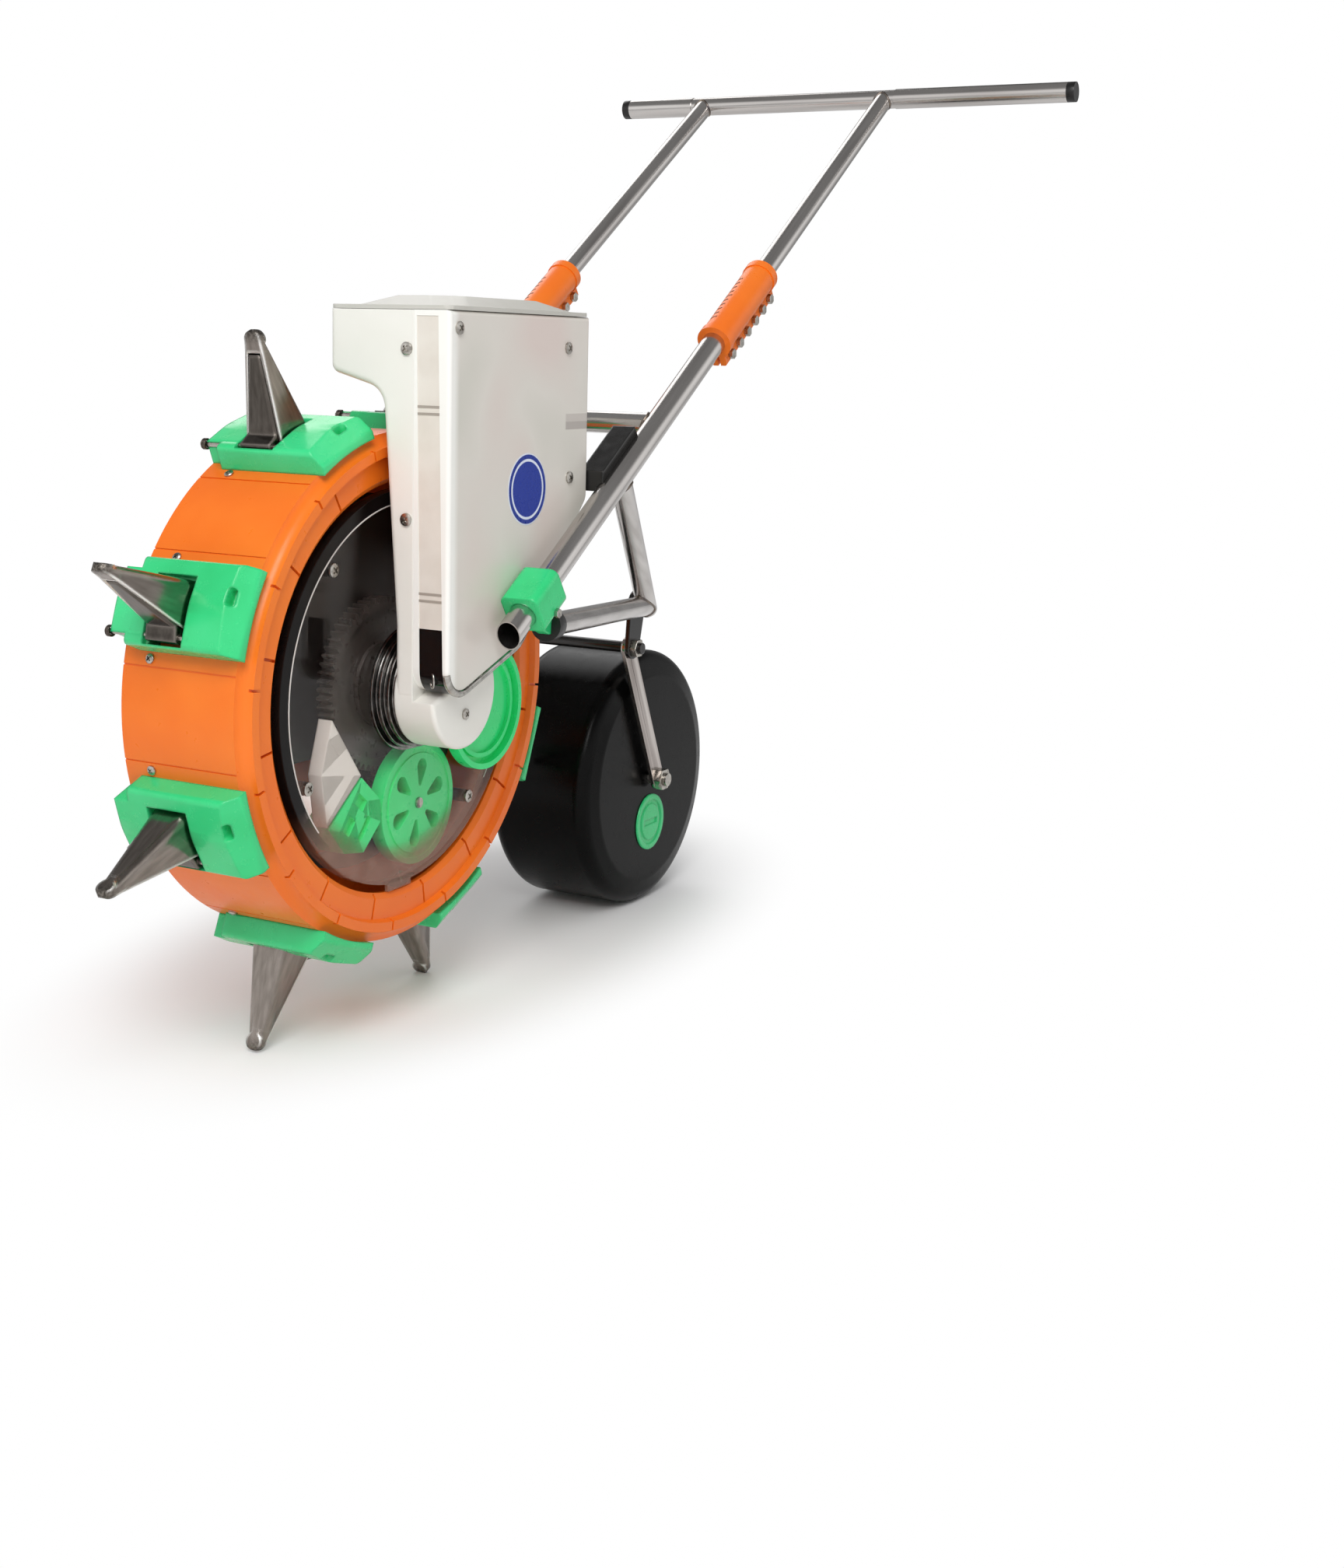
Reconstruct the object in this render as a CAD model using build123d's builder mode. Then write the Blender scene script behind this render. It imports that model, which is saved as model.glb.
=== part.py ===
"""Walk-behind seed planter: a drum with eight planting bills, a side hopper, a handle and a press roller.

Millimetres. The origin is on the ground below the axle, in the middle plane of the drum.
X runs rearward to the handle, Y to the far side of the machine, Z up.
"""
from math import acos, atan2, cos, degrees, hypot, pi, radians, sin, tan
import os

from build123d import *

# Planting wheel: the bill tips set the pace of the machine and the height of the axle.
BILL_COUNT = 8
BILL_STEP = 360.0 / BILL_COUNT
TIP_R = 280.0
TIP_ROUND = 3.0
AXLE_Z = (TIP_R - TIP_ROUND) * cos(radians(BILL_STEP / 2)) + TIP_ROUND
DRUM_R = 190.0
DRUM_HALF = 53.0
RING_INNER_R = 154.0
AXLE_R = 10.0

# Planting bills, measured in the direction of travel, across the machine, and from the axle.
BILL_Y = 8.0
SEAT_TOP_R = 207.0
SEAT_HALF = 31.0
SEAT_NEAR = -48.0
POCKET_FLOOR_R = 200.0
BILL_BASE = 17.0
BILL_LEAD = 16.0
BILL_HALF_Y = 15.0
NECK_R = 206.0
NOSE_R = 273.0
NOSE_HALF_Y = 6.6
BILL_WALL = 1.6
BILL_ROUND = 5.6
HINGE_T = 23.0
HINGE_R = 203.0
HINGE_TURN = BILL_STEP / 2 - 90 + degrees(atan2(HINGE_T, HINGE_R))
PIN_R = 2.0
RUN_GAP = 0.08
JAW_END_R = 263.5
JAW_HALF_Y = 12.9
JAW_TIP_HALF_Y = 5.0
JAW_ROUND = 2.2

# Gear train from the drum to the seed roller, two turns of the roller to one of the drum.
GEAR_MODULE = 2.0
DRUM_TEETH = 64
ROLLER_TEETH = 32
BACKLASH = 0.35
GEAR_DISTANCE = GEAR_MODULE * (DRUM_TEETH + ROLLER_TEETH) / 2
ROLLER_BEARING = radians(-76.4)
ROLLER_X = GEAR_DISTANCE * cos(ROLLER_BEARING)
ROLLER_Z = GEAR_DISTANCE * sin(ROLLER_BEARING)
ROLLER_R = 47.0
ROLLER_SHAFT_R = 4.0
POST_PLACES = [(130 * cos(radians(a)), 130 * sin(radians(a))) for a in (133, 45, 205, 310)]

# Hopper beside the drum.
HOPPER_FRONT = -41.0
HOPPER_REAR = 153.0
HOPPER_TOP = 535.0
HOPPER_NEAR = -112.0
HOPPER_SPLIT = -82.0
STEM_FAR = -66.0
STEM_TOP_FAR = -54.0
OVERHANG_FAR = -9.0
BOSS_NEAR = -100.0
BOSS_R = 41.0
WALL = 3.0
CHIN_R = 18.0
CHIN_Z = 257.0
STRIP_TOP_Y = (-84.0, -102.0)
STRIP_FOOT_Y = (-88.0, -108.0)
STRIP_DEPTH = 1.6
WINDOW_TOP = 311.0

# Handle tubes: both run along one slope, the near one outside the hopper.
NEAR_Y = -128.0
FAR_Y = 76.0
TUBE_FOOT = (17.0, 305.0)
TUBE_TOP = (721.0, 770.0)
TUBE_RISE = atan2(TUBE_TOP[1] - TUBE_FOOT[1], TUBE_TOP[0] - TUBE_FOOT[0])
TUBE_LENGTH = (TUBE_TOP[0] - TUBE_FOOT[0]) / cos(TUBE_RISE)
LOWER_R = 10.2
LOWER_BORE = 9.3
LOWER_LENGTH = 470.0
UPPER_R = 9.0
UPPER_BORE = 7.6
UPPER_START = 300.0
BAR_R = 9.8
BAR_WALL = 1.4
BAR_MIDDLE_R = 9.2
GRIP_ENDS = (-141.0, 89.0)
BAR_NEAR = -319.0
BAR_FAR = 164.0
CAP_LENGTH = 8.0
SLEEVE_START = 388.0
SLEEVE_LENGTH = 112.0
SLEEVE_R = 14.5
SLEEVE_BOLTS = 6
SLEEVE_BOLT_DROP = 18.0
BOLT_PLACES = [SLEEVE_START + 11 + 18 * n for n in range(SLEEVE_BOLTS)]
CLAMP_START = 20.0
CLAMP_LENGTH = 36.0
CLAMP_HALF = 15.5
CROSS_TUBE = (238.0, 451.0)
CROSS_R = 9.0

# Rear frame and press roller.
STAY_R = 9.0
STAY_BORE = 7.5
CORNER = (329.0, 74.0, 287.0)
SIDES = ("near", "far")
HAND = {"near": -1, "far": 1}
TUBE_Y = {"near": NEAR_Y, "far": FAR_Y}
CLAMP_Y = {"near": (-143.5, HOPPER_NEAR), "far": (60.0, 91.5)}
STAY_FOOT = {"near": (74.0, -124.0, 303.0), "far": (74.0, 76.0, 303.0)}
BRACE_TOP = {"near": (177.0, NEAR_Y, 410.7), "far": (177.0, FAR_Y, 410.7)}
PIVOT = (322.0, 249.0)
PRESS_R = 118.0
PRESS_HALF = 53.0
PRESS_X = 384.0
ARM_INNER = 58.0
ARM_T = 4.0
ROD_R = 5.0
PRESS_AXLE_R = 6.0

AXLE_POINT = (0, 0, AXLE_Z)
AXLE_AXIS = Axis(AXLE_POINT, (0, 1, 0))
AXLE_SECTION = Plane(origin=AXLE_POINT, x_dir=(1, 0, 0), z_dir=(0, 0, 1))


def side(y):
    """Plane across the machine at one width; sketches read as X and Z, extrusions go to the near side."""
    return Plane(origin=(0, y, 0), x_dir=(1, 0, 0), z_dir=(0, -1, 0))


def hub(y):
    """The same plane with its zero on the axle."""
    return Plane(origin=(0, y, AXLE_Z), x_dir=(1, 0, 0), z_dir=(0, -1, 0))


def bill_plane(radius):
    """Plane square to the lowest bill place at a distance from the axle; sketch y is near."""
    return Plane(origin=(0, 0, AXLE_Z - radius), x_dir=(1, 0, 0), z_dir=(0, 0, -1))


def bill_side(y):
    """Plane along the lowest bill place; sketch x leads the rotation, sketch y runs out to the tip."""
    return Plane(origin=(0, y, AXLE_Z), x_dir=(1, 0, 0), z_dir=(0, 1, 0))


def bill_front():
    """Plane across the lowest bill place; sketch x is near, sketch y runs out to the tip."""
    return Plane(origin=AXLE_POINT, x_dir=(0, -1, 0), z_dir=(1, 0, 0))


def placed(part, index):
    """The piece of one bill, turned about the axle from the lowest place to its own."""
    return part.rotate(AXLE_AXIS, -BILL_STEP * (index + 0.5))


def tube_plane(distance, y):
    """Plane square to a handle tube; sketch x points down and rearward, sketch y to the far side."""
    origin = (TUBE_FOOT[0] + distance * cos(TUBE_RISE), y, TUBE_FOOT[1] + distance * sin(TUBE_RISE))
    return Plane(origin=origin, x_dir=(sin(TUBE_RISE), 0, -cos(TUBE_RISE)),
                 z_dir=(cos(TUBE_RISE), 0, sin(TUBE_RISE)))


def bar_plane(y):
    """Plane square to the handlebar; extrusions go to the near side."""
    return Plane(origin=(TUBE_TOP[0], y, TUBE_TOP[1]), x_dir=(1, 0, 0), z_dir=(0, -1, 0))


def bolt_plane(distance, drop, y):
    """Plane square to the width of the machine at a point beside a handle tube."""
    place = tube_plane(distance, y)
    return Plane(origin=place.origin + place.x_dir * drop, x_dir=(cos(TUBE_RISE), 0, sin(TUBE_RISE)),
                 z_dir=(0, 1, 0))


def corner(name):
    """Rear corner of the frame on one side."""
    return Vector(CORNER[0], HAND[name] * CORNER[1], CORNER[2])


def line_plane(start, end):
    """Plane at the start of a straight tube, square to it."""
    return Plane(origin=start, z_dir=Vector(*end) - Vector(*start))


def gear_outline(teeth, turn):
    """Corner points of a spur gear with involute flanks."""
    pitch = GEAR_MODULE * teeth / 2
    base = pitch * cos(radians(20))
    radii = (pitch - 1.15 * GEAR_MODULE, pitch - 0.1 * GEAR_MODULE, pitch + 0.9 * GEAR_MODULE)
    middle = pi / (2 * teeth) - BACKLASH / (2 * pitch) + tan(radians(20)) - radians(20)
    halves = []
    for radius in radii:
        pressure = acos(base / max(radius, base))
        halves.append(middle - tan(pressure) + pressure)
    points = []
    for tooth in range(teeth):
        centre = turn + 2 * pi * tooth / teeth
        for radius, half in zip(radii, halves):
            points.append((radius * cos(centre - half), radius * sin(centre - half)))
        for radius, half in zip(reversed(radii), reversed(halves)):
            points.append((radius * cos(centre + half), radius * sin(centre + half)))
    return points


def front_skin(shallow, deep):
    """Thin sketch along the front of the hopper panel, from the top down round the chin."""
    with BuildSketch(Plane.XY) as skin:
        with BuildLine():
            start = (HOPPER_FRONT + shallow, HOPPER_TOP - 4)
            down = Line(start, (HOPPER_FRONT + shallow, CHIN_Z + CHIN_R + 5))
            turn = TangentArc(down @ 1, (HOPPER_FRONT + 15, CHIN_Z + 5.4 + shallow), tangent=(0, -1))
            back = (HOPPER_FRONT + 15, CHIN_Z + 5.4 + deep)
            Line(turn @ 1, back)
            inner = TangentArc((HOPPER_FRONT + deep, CHIN_Z + CHIN_R + 5), back, tangent=(0, -1))
            Line(inner @ 0, (HOPPER_FRONT + deep, HOPPER_TOP - 4))
            Line((HOPPER_FRONT + deep, HOPPER_TOP - 4), start)
        make_face()
    return skin.sketch


def strip_front():
    """Plane on the front of the hopper; sketch x is the machine's width, sketch y its height."""
    return Plane(origin=(HOPPER_FRONT, 0, 0), x_dir=(0, 1, 0), z_dir=(1, 0, 0))


def strip_outline():
    """Front view of the strip and its window: it slants to the near side on its way down."""
    with BuildSketch(Plane.XY) as outline:
        with BuildLine():
            Polyline((STRIP_TOP_Y[0], HOPPER_TOP), (STRIP_TOP_Y[1], HOPPER_TOP), (STRIP_FOOT_Y[1], CHIN_Z),
                     (STRIP_FOOT_Y[0], CHIN_Z), close=True)
        make_face()
    return outline.sketch


def keep(part, label):
    """Name a finished piece and write its file."""
    part.label = label
    export_step(part, "parts/" + label + ".step")


os.makedirs("parts", exist_ok=True)

# Drum rim: tread, rounded near shoulder, stepped near ring with slits, and a lip for the far disc.
with BuildPart() as drum_rim:
    with BuildSketch(AXLE_SECTION):
        with BuildLine():
            Line((DRUM_R, DRUM_HALF), (DRUM_R, -44))
            RadiusArc((DRUM_R, -44), (182, -DRUM_HALF), -9)
            Polyline((182, -DRUM_HALF), (175, -DRUM_HALF), (173, -48.5), (158, -48.5),
                     (RING_INNER_R, -45.5), (RING_INNER_R, -42), (180, -44.5), (185, -41), (185, 37),
                     (177, 40), (177, 46), (185, 46), (185, DRUM_HALF), (DRUM_R, DRUM_HALF))
        make_face()
    revolve(axis=AXLE_AXIS)
    with BuildSketch(hub(-44)):
        with PolarLocations(164, 2 * BILL_COUNT, start_angle=8):
            Rectangle(18.5, 2)
    extrude(amount=8, mode=Mode.SUBTRACT)
    with BuildSketch(hub(-49.5)):
        with PolarLocations(183, 2 * BILL_COUNT, start_angle=15):
            Rectangle(20, 2)
    extrude(amount=8, mode=Mode.SUBTRACT)
    with BuildSketch(hub(54)):
        with PolarLocations(DRUM_R, BILL_COUNT, start_angle=BILL_STEP / 2 + 12.5):
            Rectangle(1.6, 1.2)
        with PolarLocations(DRUM_R, BILL_COUNT, start_angle=BILL_STEP / 2 - 12.5):
            Rectangle(1.6, 1.2)
    extrude(amount=98, mode=Mode.SUBTRACT)
    with BuildSketch(hub(47)):
        with PolarLocations(181, BILL_COUNT, start_angle=0):
            Circle(2.5)
    extrude(amount=8, mode=Mode.SUBTRACT)
    with BuildSketch(hub(BILL_Y + 10)):
        with PolarLocations(186, BILL_COUNT, start_angle=BILL_STEP / 2):
            Rectangle(20, 26)
    extrude(amount=20, mode=Mode.SUBTRACT)
keep(drum_rim.part, "drum_rim")

# Far disc of the drum with its hub boss and radial ribs.
with BuildPart() as drum_disc:
    with BuildSketch(AXLE_SECTION):
        with BuildLine():
            Polyline((24, 42), (40, 42), (46, 46), (184.7, 46), (184.7, 50), (46, 50), (40, 56), (24, 56),
                     close=True)
        make_face()
    revolve(axis=AXLE_AXIS)
    with BuildSketch(hub(52.5)):
        with PolarLocations(108, BILL_COUNT, start_angle=BILL_STEP / 2):
            Rectangle(128, 4)
    extrude(amount=3.5)
    with BuildSketch(hub(54)):
        with PolarLocations(181, BILL_COUNT, start_angle=0):
            Circle(2.5)
        with PolarLocations(110, BILL_COUNT, start_angle=0):
            Circle(22)
    extrude(amount=12, mode=Mode.SUBTRACT)
keep(drum_disc.part, "drum_disc")

# Screws that hold the far disc to the rim.
with BuildPart() as disc_screws:
    with BuildSketch(hub(50)):
        with PolarLocations(181, BILL_COUNT, start_angle=0):
            Circle(2.5)
    extrude(amount=9)
    with BuildSketch(hub(52.6)):
        with PolarLocations(181, BILL_COUNT, start_angle=0):
            Circle(3.6)
    extrude(amount=2.6)
keep(disc_screws.part, "disc_screws")

# Hub sleeve with two bush lands that run on the axle.
with BuildPart() as hub_sleeve:
    with BuildSketch(AXLE_SECTION):
        with BuildLine():
            Polyline((AXLE_R + RUN_GAP, -27), (24, -27), (24, 56), (AXLE_R + RUN_GAP, 56),
                     (AXLE_R + RUN_GAP, 40), (15, 40), (15, -11), (AXLE_R + RUN_GAP, -11), close=True)
        make_face()
    revolve(axis=AXLE_AXIS)
keep(hub_sleeve.part, "hub_sleeve")

# Gear on the drum hub that drives the seed roller.
with BuildPart() as drive_gear:
    with BuildSketch(hub(-15)):
        with BuildLine():
            Polyline(*gear_outline(DRUM_TEETH, ROLLER_BEARING), close=True)
        make_face()
        Circle(24, mode=Mode.SUBTRACT)
    extrude(amount=12)
    with BuildSketch(hub(-24)):
        Circle(56)
        Circle(32, mode=Mode.SUBTRACT)
    extrude(amount=4, mode=Mode.SUBTRACT)
keep(drive_gear.part, "drive_gear")

# One bill seat: a block on the tread with a sloped near end, a stepped pocket, a slot and a far tongue.
with BuildPart() as seat:
    with BuildSketch(bill_side(-60)):
        with BuildLine():
            FilletPolyline((-SEAT_HALF, 170), (SEAT_HALF, 170), (SEAT_HALF, SEAT_TOP_R - 2),
                           (0, SEAT_TOP_R + 1), (-SEAT_HALF, SEAT_TOP_R - 2), radius=(0, 0, 4, 60, 4),
                           close=True)
        make_face()
    extrude(amount=60 + DRUM_HALF)
    with BuildSketch(bill_front()):
        with BuildLine():
            FilletPolyline((-DRUM_HALF, 170), (-SEAT_NEAR + 2, 170), (-SEAT_NEAR + 2, 194),
                           (-SEAT_NEAR - 9, SEAT_TOP_R), (-SEAT_NEAR - 14, 215), (-DRUM_HALF, 215),
                           radius=(0, 0, 5, 4, 0, 0), close=True)
        make_face()
    extrude(amount=40, both=True, mode=Mode.INTERSECT)
    with BuildSketch(hub(60)):
        Circle(DRUM_R)
    extrude(amount=120, mode=Mode.SUBTRACT)
    with BuildSketch(bill_plane(184)):
        with Locations((6, -BILL_Y)):
            Rectangle(2 * (BILL_BASE + 6), 2 * BILL_HALF_Y)
        with Locations((-28, -48), (30, -48)):
            Rectangle(12, 16)
    extrude(amount=30, mode=Mode.SUBTRACT)
    with BuildSketch(bill_plane(POCKET_FLOOR_R)):
        with Locations((5, -BILL_Y)):
            Rectangle(49, 2 * BILL_HALF_Y + 4)
    extrude(amount=20, mode=Mode.SUBTRACT)
    with BuildSketch(bill_plane(198)):
        with Locations((-8, -SEAT_NEAR - 8)):
            SlotOverall(13, 5)
    extrude(amount=20, mode=Mode.SUBTRACT)
    with BuildSketch(bill_side(-14)):
        with Locations((HINGE_T, HINGE_R)):
            Circle(PIN_R)
    extrude(amount=80, mode=Mode.SUBTRACT)

# Bill seats on the drum.
with BuildPart() as bill_seats:
    for index in range(BILL_COUNT):
        add(placed(seat.part, index))
keep(bill_seats.part, "bill_seats")

# One fixed bill: a tapered channel with a blunt closed nose, open on the leading side.
with BuildPart() as spout:
    with BuildSketch(bill_side(BILL_Y - 20)):
        with BuildLine():
            Polyline((-5.2, TIP_R - TIP_ROUND), (-BILL_BASE, 204), (-BILL_BASE, 190.6), (BILL_LEAD, 190.6),
                     (BILL_LEAD, NECK_R), (2.2, NOSE_R - 5), (0.8, TIP_R - TIP_ROUND))
            RadiusArc((0.8, TIP_R - TIP_ROUND), (-5.2, TIP_R - TIP_ROUND), -TIP_ROUND)
        make_face()
    extrude(amount=40)
    with BuildSketch(bill_front()):
        with BuildLine():
            Polyline((NOSE_HALF_Y - BILL_Y, NOSE_R), (BILL_HALF_Y - BILL_Y, NECK_R),
                     (BILL_HALF_Y - BILL_Y, 190), (-BILL_HALF_Y - BILL_Y, 190),
                     (-BILL_HALF_Y - BILL_Y, NECK_R), (-NOSE_HALF_Y - BILL_Y, NOSE_R))
            ThreePointArc((-NOSE_HALF_Y - BILL_Y, NOSE_R), (-BILL_Y, TIP_R + 0.1),
                          (NOSE_HALF_Y - BILL_Y, NOSE_R))
        make_face()
    extrude(amount=40, both=True, mode=Mode.INTERSECT)
    fillet(spout.edges().filter_by(lambda edge: edge.length > 50).sort_by(Axis.X)[:2], radius=BILL_ROUND)
    with BuildSketch(bill_plane(186)):
        with Locations((4, -BILL_Y)):
            RectangleRounded(2 * (BILL_BASE - BILL_WALL + 4), 2 * (BILL_HALF_Y - BILL_WALL), BILL_ROUND - 1)
    with BuildSketch(bill_plane(NECK_R)):
        with Locations((4, -BILL_Y)):
            RectangleRounded(2 * (BILL_BASE - BILL_WALL + 4), 2 * (BILL_HALF_Y - BILL_WALL), BILL_ROUND - 1)
    with BuildSketch(bill_plane(JAW_END_R + 1)):
        with Locations((1.9, -BILL_Y)):
            RectangleRounded(2 * 7.3, 2 * (NOSE_HALF_Y - BILL_WALL + 0.6), BILL_ROUND - 1)
    loft(ruled=True, mode=Mode.SUBTRACT)

# Fixed bills in the seats.
with BuildPart() as bill_spouts:
    for index in range(BILL_COUNT):
        add(placed(spout.part, index))
keep(bill_spouts.part, "bill_spouts")

# One moving bill: a tongue that closes the open side of the fixed bill, with a knuckle for the hinge pin.
with BuildPart() as jaw:
    with BuildSketch(bill_side(BILL_Y - 20)):
        with BuildLine():
            Polyline((14.4, 204), (19, 199.6), (27, 201), (26.6, 206.5), (17.4, 209.5), (3.6, JAW_END_R),
                     (1.2, JAW_END_R - 1.2), close=True)
        make_face()
        with Locations((HINGE_T, HINGE_R)):
            Circle(4.2)
            Circle(PIN_R + RUN_GAP, mode=Mode.SUBTRACT)
    extrude(amount=40)
    with BuildSketch(bill_front()):
        with BuildLine():
            Polyline((JAW_HALF_Y - BILL_Y, 190), (JAW_HALF_Y - BILL_Y, NECK_R),
                     (JAW_TIP_HALF_Y - BILL_Y, JAW_END_R + 1), (-JAW_TIP_HALF_Y - BILL_Y, JAW_END_R + 1),
                     (-JAW_HALF_Y - BILL_Y, NECK_R), (-JAW_HALF_Y - BILL_Y, 190), close=True)
        make_face()
    extrude(amount=40, both=True, mode=Mode.INTERSECT)
    fillet(jaw.edges().filter_by(lambda edge: edge.length > 40).sort_by(Axis.X)[-2:], radius=JAW_ROUND)

# Moving bills, each on its own hinge pin.
for index in range(BILL_COUNT):
    keep(placed(jaw.part, index), "bill_jaw_" + str(index + 1))

# Hinge pins of the moving bills; their ends stand out of the far end of the seats.
with BuildPart() as jaw_pins:
    with BuildSketch(hub(59)):
        with PolarLocations(hypot(HINGE_T, HINGE_R), BILL_COUNT, start_angle=HINGE_TURN):
            Circle(PIN_R)
    extrude(amount=71)
keep(jaw_pins.part, "jaw_pins")

# One return spring on the outer end of a pin.
with BuildPart() as spring:
    with BuildSketch(bill_side(DRUM_HALF)):
        with Locations((HINGE_T, HINGE_R)):
            Circle(4.4)
        with Locations((HINGE_T - 8, HINGE_R - 3.6)):
            Rectangle(16, 1.6)
        with Locations((HINGE_T, HINGE_R)):
            Circle(PIN_R, mode=Mode.SUBTRACT)
    extrude(amount=4.5)

# Return springs of the moving bills.
with BuildPart() as jaw_springs:
    for index in range(BILL_COUNT):
        add(placed(spring.part, index))
keep(jaw_springs.part, "jaw_springs")

# Axle, fixed in the hopper boss and the far bracket.
with BuildPart() as axle:
    with BuildSketch(hub(71)):
        Circle(AXLE_R)
    extrude(amount=167)
    chamfer(axle.edges().group_by(Axis.Y)[-1], length=1.5)
keep(axle.part, "axle")

# Stepped collar between the seed case and the hopper boss.
with BuildPart() as hub_collar:
    with BuildSketch(AXLE_SECTION):
        with BuildLine():
            Polyline((AXLE_R, -48), (47, -48), (47, -50.5), (42, -50.5), (42, -53.5), (45, -53.5),
                     (45, -56.5), (40.5, -56.5), (40.5, -59.5), (43, -59.5), (43, -62.5), (38.5, -62.5),
                     (38.5, STEM_FAR), (AXLE_R, STEM_FAR), close=True)
        make_face()
    revolve(axis=AXLE_AXIS)
keep(hub_collar.part, "hub_collar")

# Back of the seed case: a dark plate with two windows and four posts to the cover.
with BuildPart() as seed_back:
    with BuildSketch(hub(0)):
        Circle(142)
        Circle(30, mode=Mode.SUBTRACT)
        with BuildLine():
            Polyline((-92, -50), (4, -50), (6, -124), (-50, -124), close=True)
        make_face(mode=Mode.SUBTRACT)
        with BuildLine():
            Polyline((40, -50), (98, -50), (66, -112), (40, -124), close=True)
        make_face(mode=Mode.SUBTRACT)
        with Locations((ROLLER_X, ROLLER_Z)):
            Circle(ROLLER_SHAFT_R, mode=Mode.SUBTRACT)
    extrude(amount=4)
    with BuildSketch(hub(-4)):
        with Locations(*POST_PLACES):
            Circle(5)
    extrude(amount=41)
keep(seed_back.part, "seed_back")

# Clear cover of the seed case with a short rim and the outlet tab at the bottom.
with BuildPart() as seed_cover:
    with BuildSketch(hub(-45)):
        Circle(148)
        with Locations((-8, -147)):
            Rectangle(30, 10)
        Circle(40, mode=Mode.SUBTRACT)
    extrude(amount=3)
    with BuildSketch(hub(-38)):
        Circle(148)
        Circle(145.5, mode=Mode.SUBTRACT)
    extrude(amount=7)
keep(seed_cover.part, "seed_cover")

# Seed roller: a disc with petal openings, seed cells in its back edge and a hub for the gear.
with BuildPart() as seed_roller:
    roller_plane = Plane(origin=(ROLLER_X, -31.5, AXLE_Z + ROLLER_Z), x_dir=(1, 0, 0), z_dir=(0, -1, 0))
    with BuildSketch(roller_plane):
        Circle(ROLLER_R)
    extrude(amount=12)
    with BuildSketch(roller_plane.offset(-18.5)):
        Circle(9)
    extrude(amount=30.5)
    with BuildSketch(roller_plane.offset(10.8)):
        Circle(42)
        Circle(38.5, mode=Mode.SUBTRACT)
    extrude(amount=2, mode=Mode.SUBTRACT)
    for petal in range(6):
        with BuildSketch(roller_plane):
            with PolarLocations(15, 1, start_angle=60 * petal + 20):
                Circle(2)
            with PolarLocations(28, 1, start_angle=60 * petal + 20):
                Circle(6)
            make_hull()
        extrude(amount=12, mode=Mode.SUBTRACT)
    with BuildSketch(roller_plane):
        with PolarLocations(ROLLER_R, 4, start_angle=10):
            Circle(6)
    extrude(amount=6, mode=Mode.SUBTRACT)
    with BuildSketch(roller_plane.offset(-20)):
        Circle(ROLLER_SHAFT_R + RUN_GAP)
    extrude(amount=40, mode=Mode.SUBTRACT)
keep(seed_roller.part, "seed_roller")

# Gear on the back of the seed roller.
with BuildPart() as roller_gear:
    with BuildSketch(Plane(origin=(ROLLER_X, -15, AXLE_Z + ROLLER_Z), x_dir=(1, 0, 0), z_dir=(0, -1, 0))):
        with BuildLine():
            Polyline(*gear_outline(ROLLER_TEETH, ROLLER_BEARING + pi + pi / ROLLER_TEETH), close=True)
        make_face()
        Circle(9, mode=Mode.SUBTRACT)
    extrude(amount=12)
keep(roller_gear.part, "roller_gear")

# Fixed shaft of the seed roller.
with BuildPart() as roller_shaft:
    with BuildSketch(Plane(origin=(ROLLER_X, 0, AXLE_Z + ROLLER_Z), x_dir=(1, 0, 0), z_dir=(0, -1, 0))):
        Circle(ROLLER_SHAFT_R)
    extrude(amount=45)
keep(roller_shaft.part, "roller_shaft")

# Brush block that levels the seed in front of the roller.
with BuildPart() as brush_block:
    with BuildSketch(hub(-22)):
        with BuildLine():
            Polyline((-51, -60), (-29, -80), (-28, -97), (-49, -116), (-72, -112), (-90, -91), close=True)
        make_face()
    extrude(amount=23)
    with BuildSketch(hub(-41)):
        with Locations((-52, -78)):
            Rectangle(12, 9, rotation=-40)
        with Locations((-66, -93)):
            Rectangle(9, 13, rotation=-40)
        with Locations((-48, -98)):
            SlotOverall(20, 6, rotation=50)
    extrude(amount=6, mode=Mode.SUBTRACT)
keep(brush_block.part, "brush_block")

# Seed guard plate above the brush block.
with BuildPart() as seed_guard:
    with BuildSketch(hub(-33)):
        with BuildLine():
            Polyline((-86, -12), (-52, -58), (-92, -89), (-98, -50), close=True)
        make_face()
    extrude(amount=12)
keep(seed_guard.part, "seed_guard")

# Feed inlet dish on the case cover, behind the hopper boss.
with BuildPart() as feed_inlet:
    dish_plane = Plane(origin=(98, -48, AXLE_Z - 29), x_dir=(1, 0, 0), z_dir=(0, -1, 0))
    with BuildSketch(dish_plane):
        Circle(50)
    extrude(amount=3)
    with BuildSketch(dish_plane):
        Circle(50)
        Circle(45.5, mode=Mode.SUBTRACT)
    extrude(amount=9)
    with BuildSketch(dish_plane):
        Circle(41)
        Circle(37.5, mode=Mode.SUBTRACT)
    extrude(amount=6)
keep(feed_inlet.part, "feed_inlet")

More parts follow.
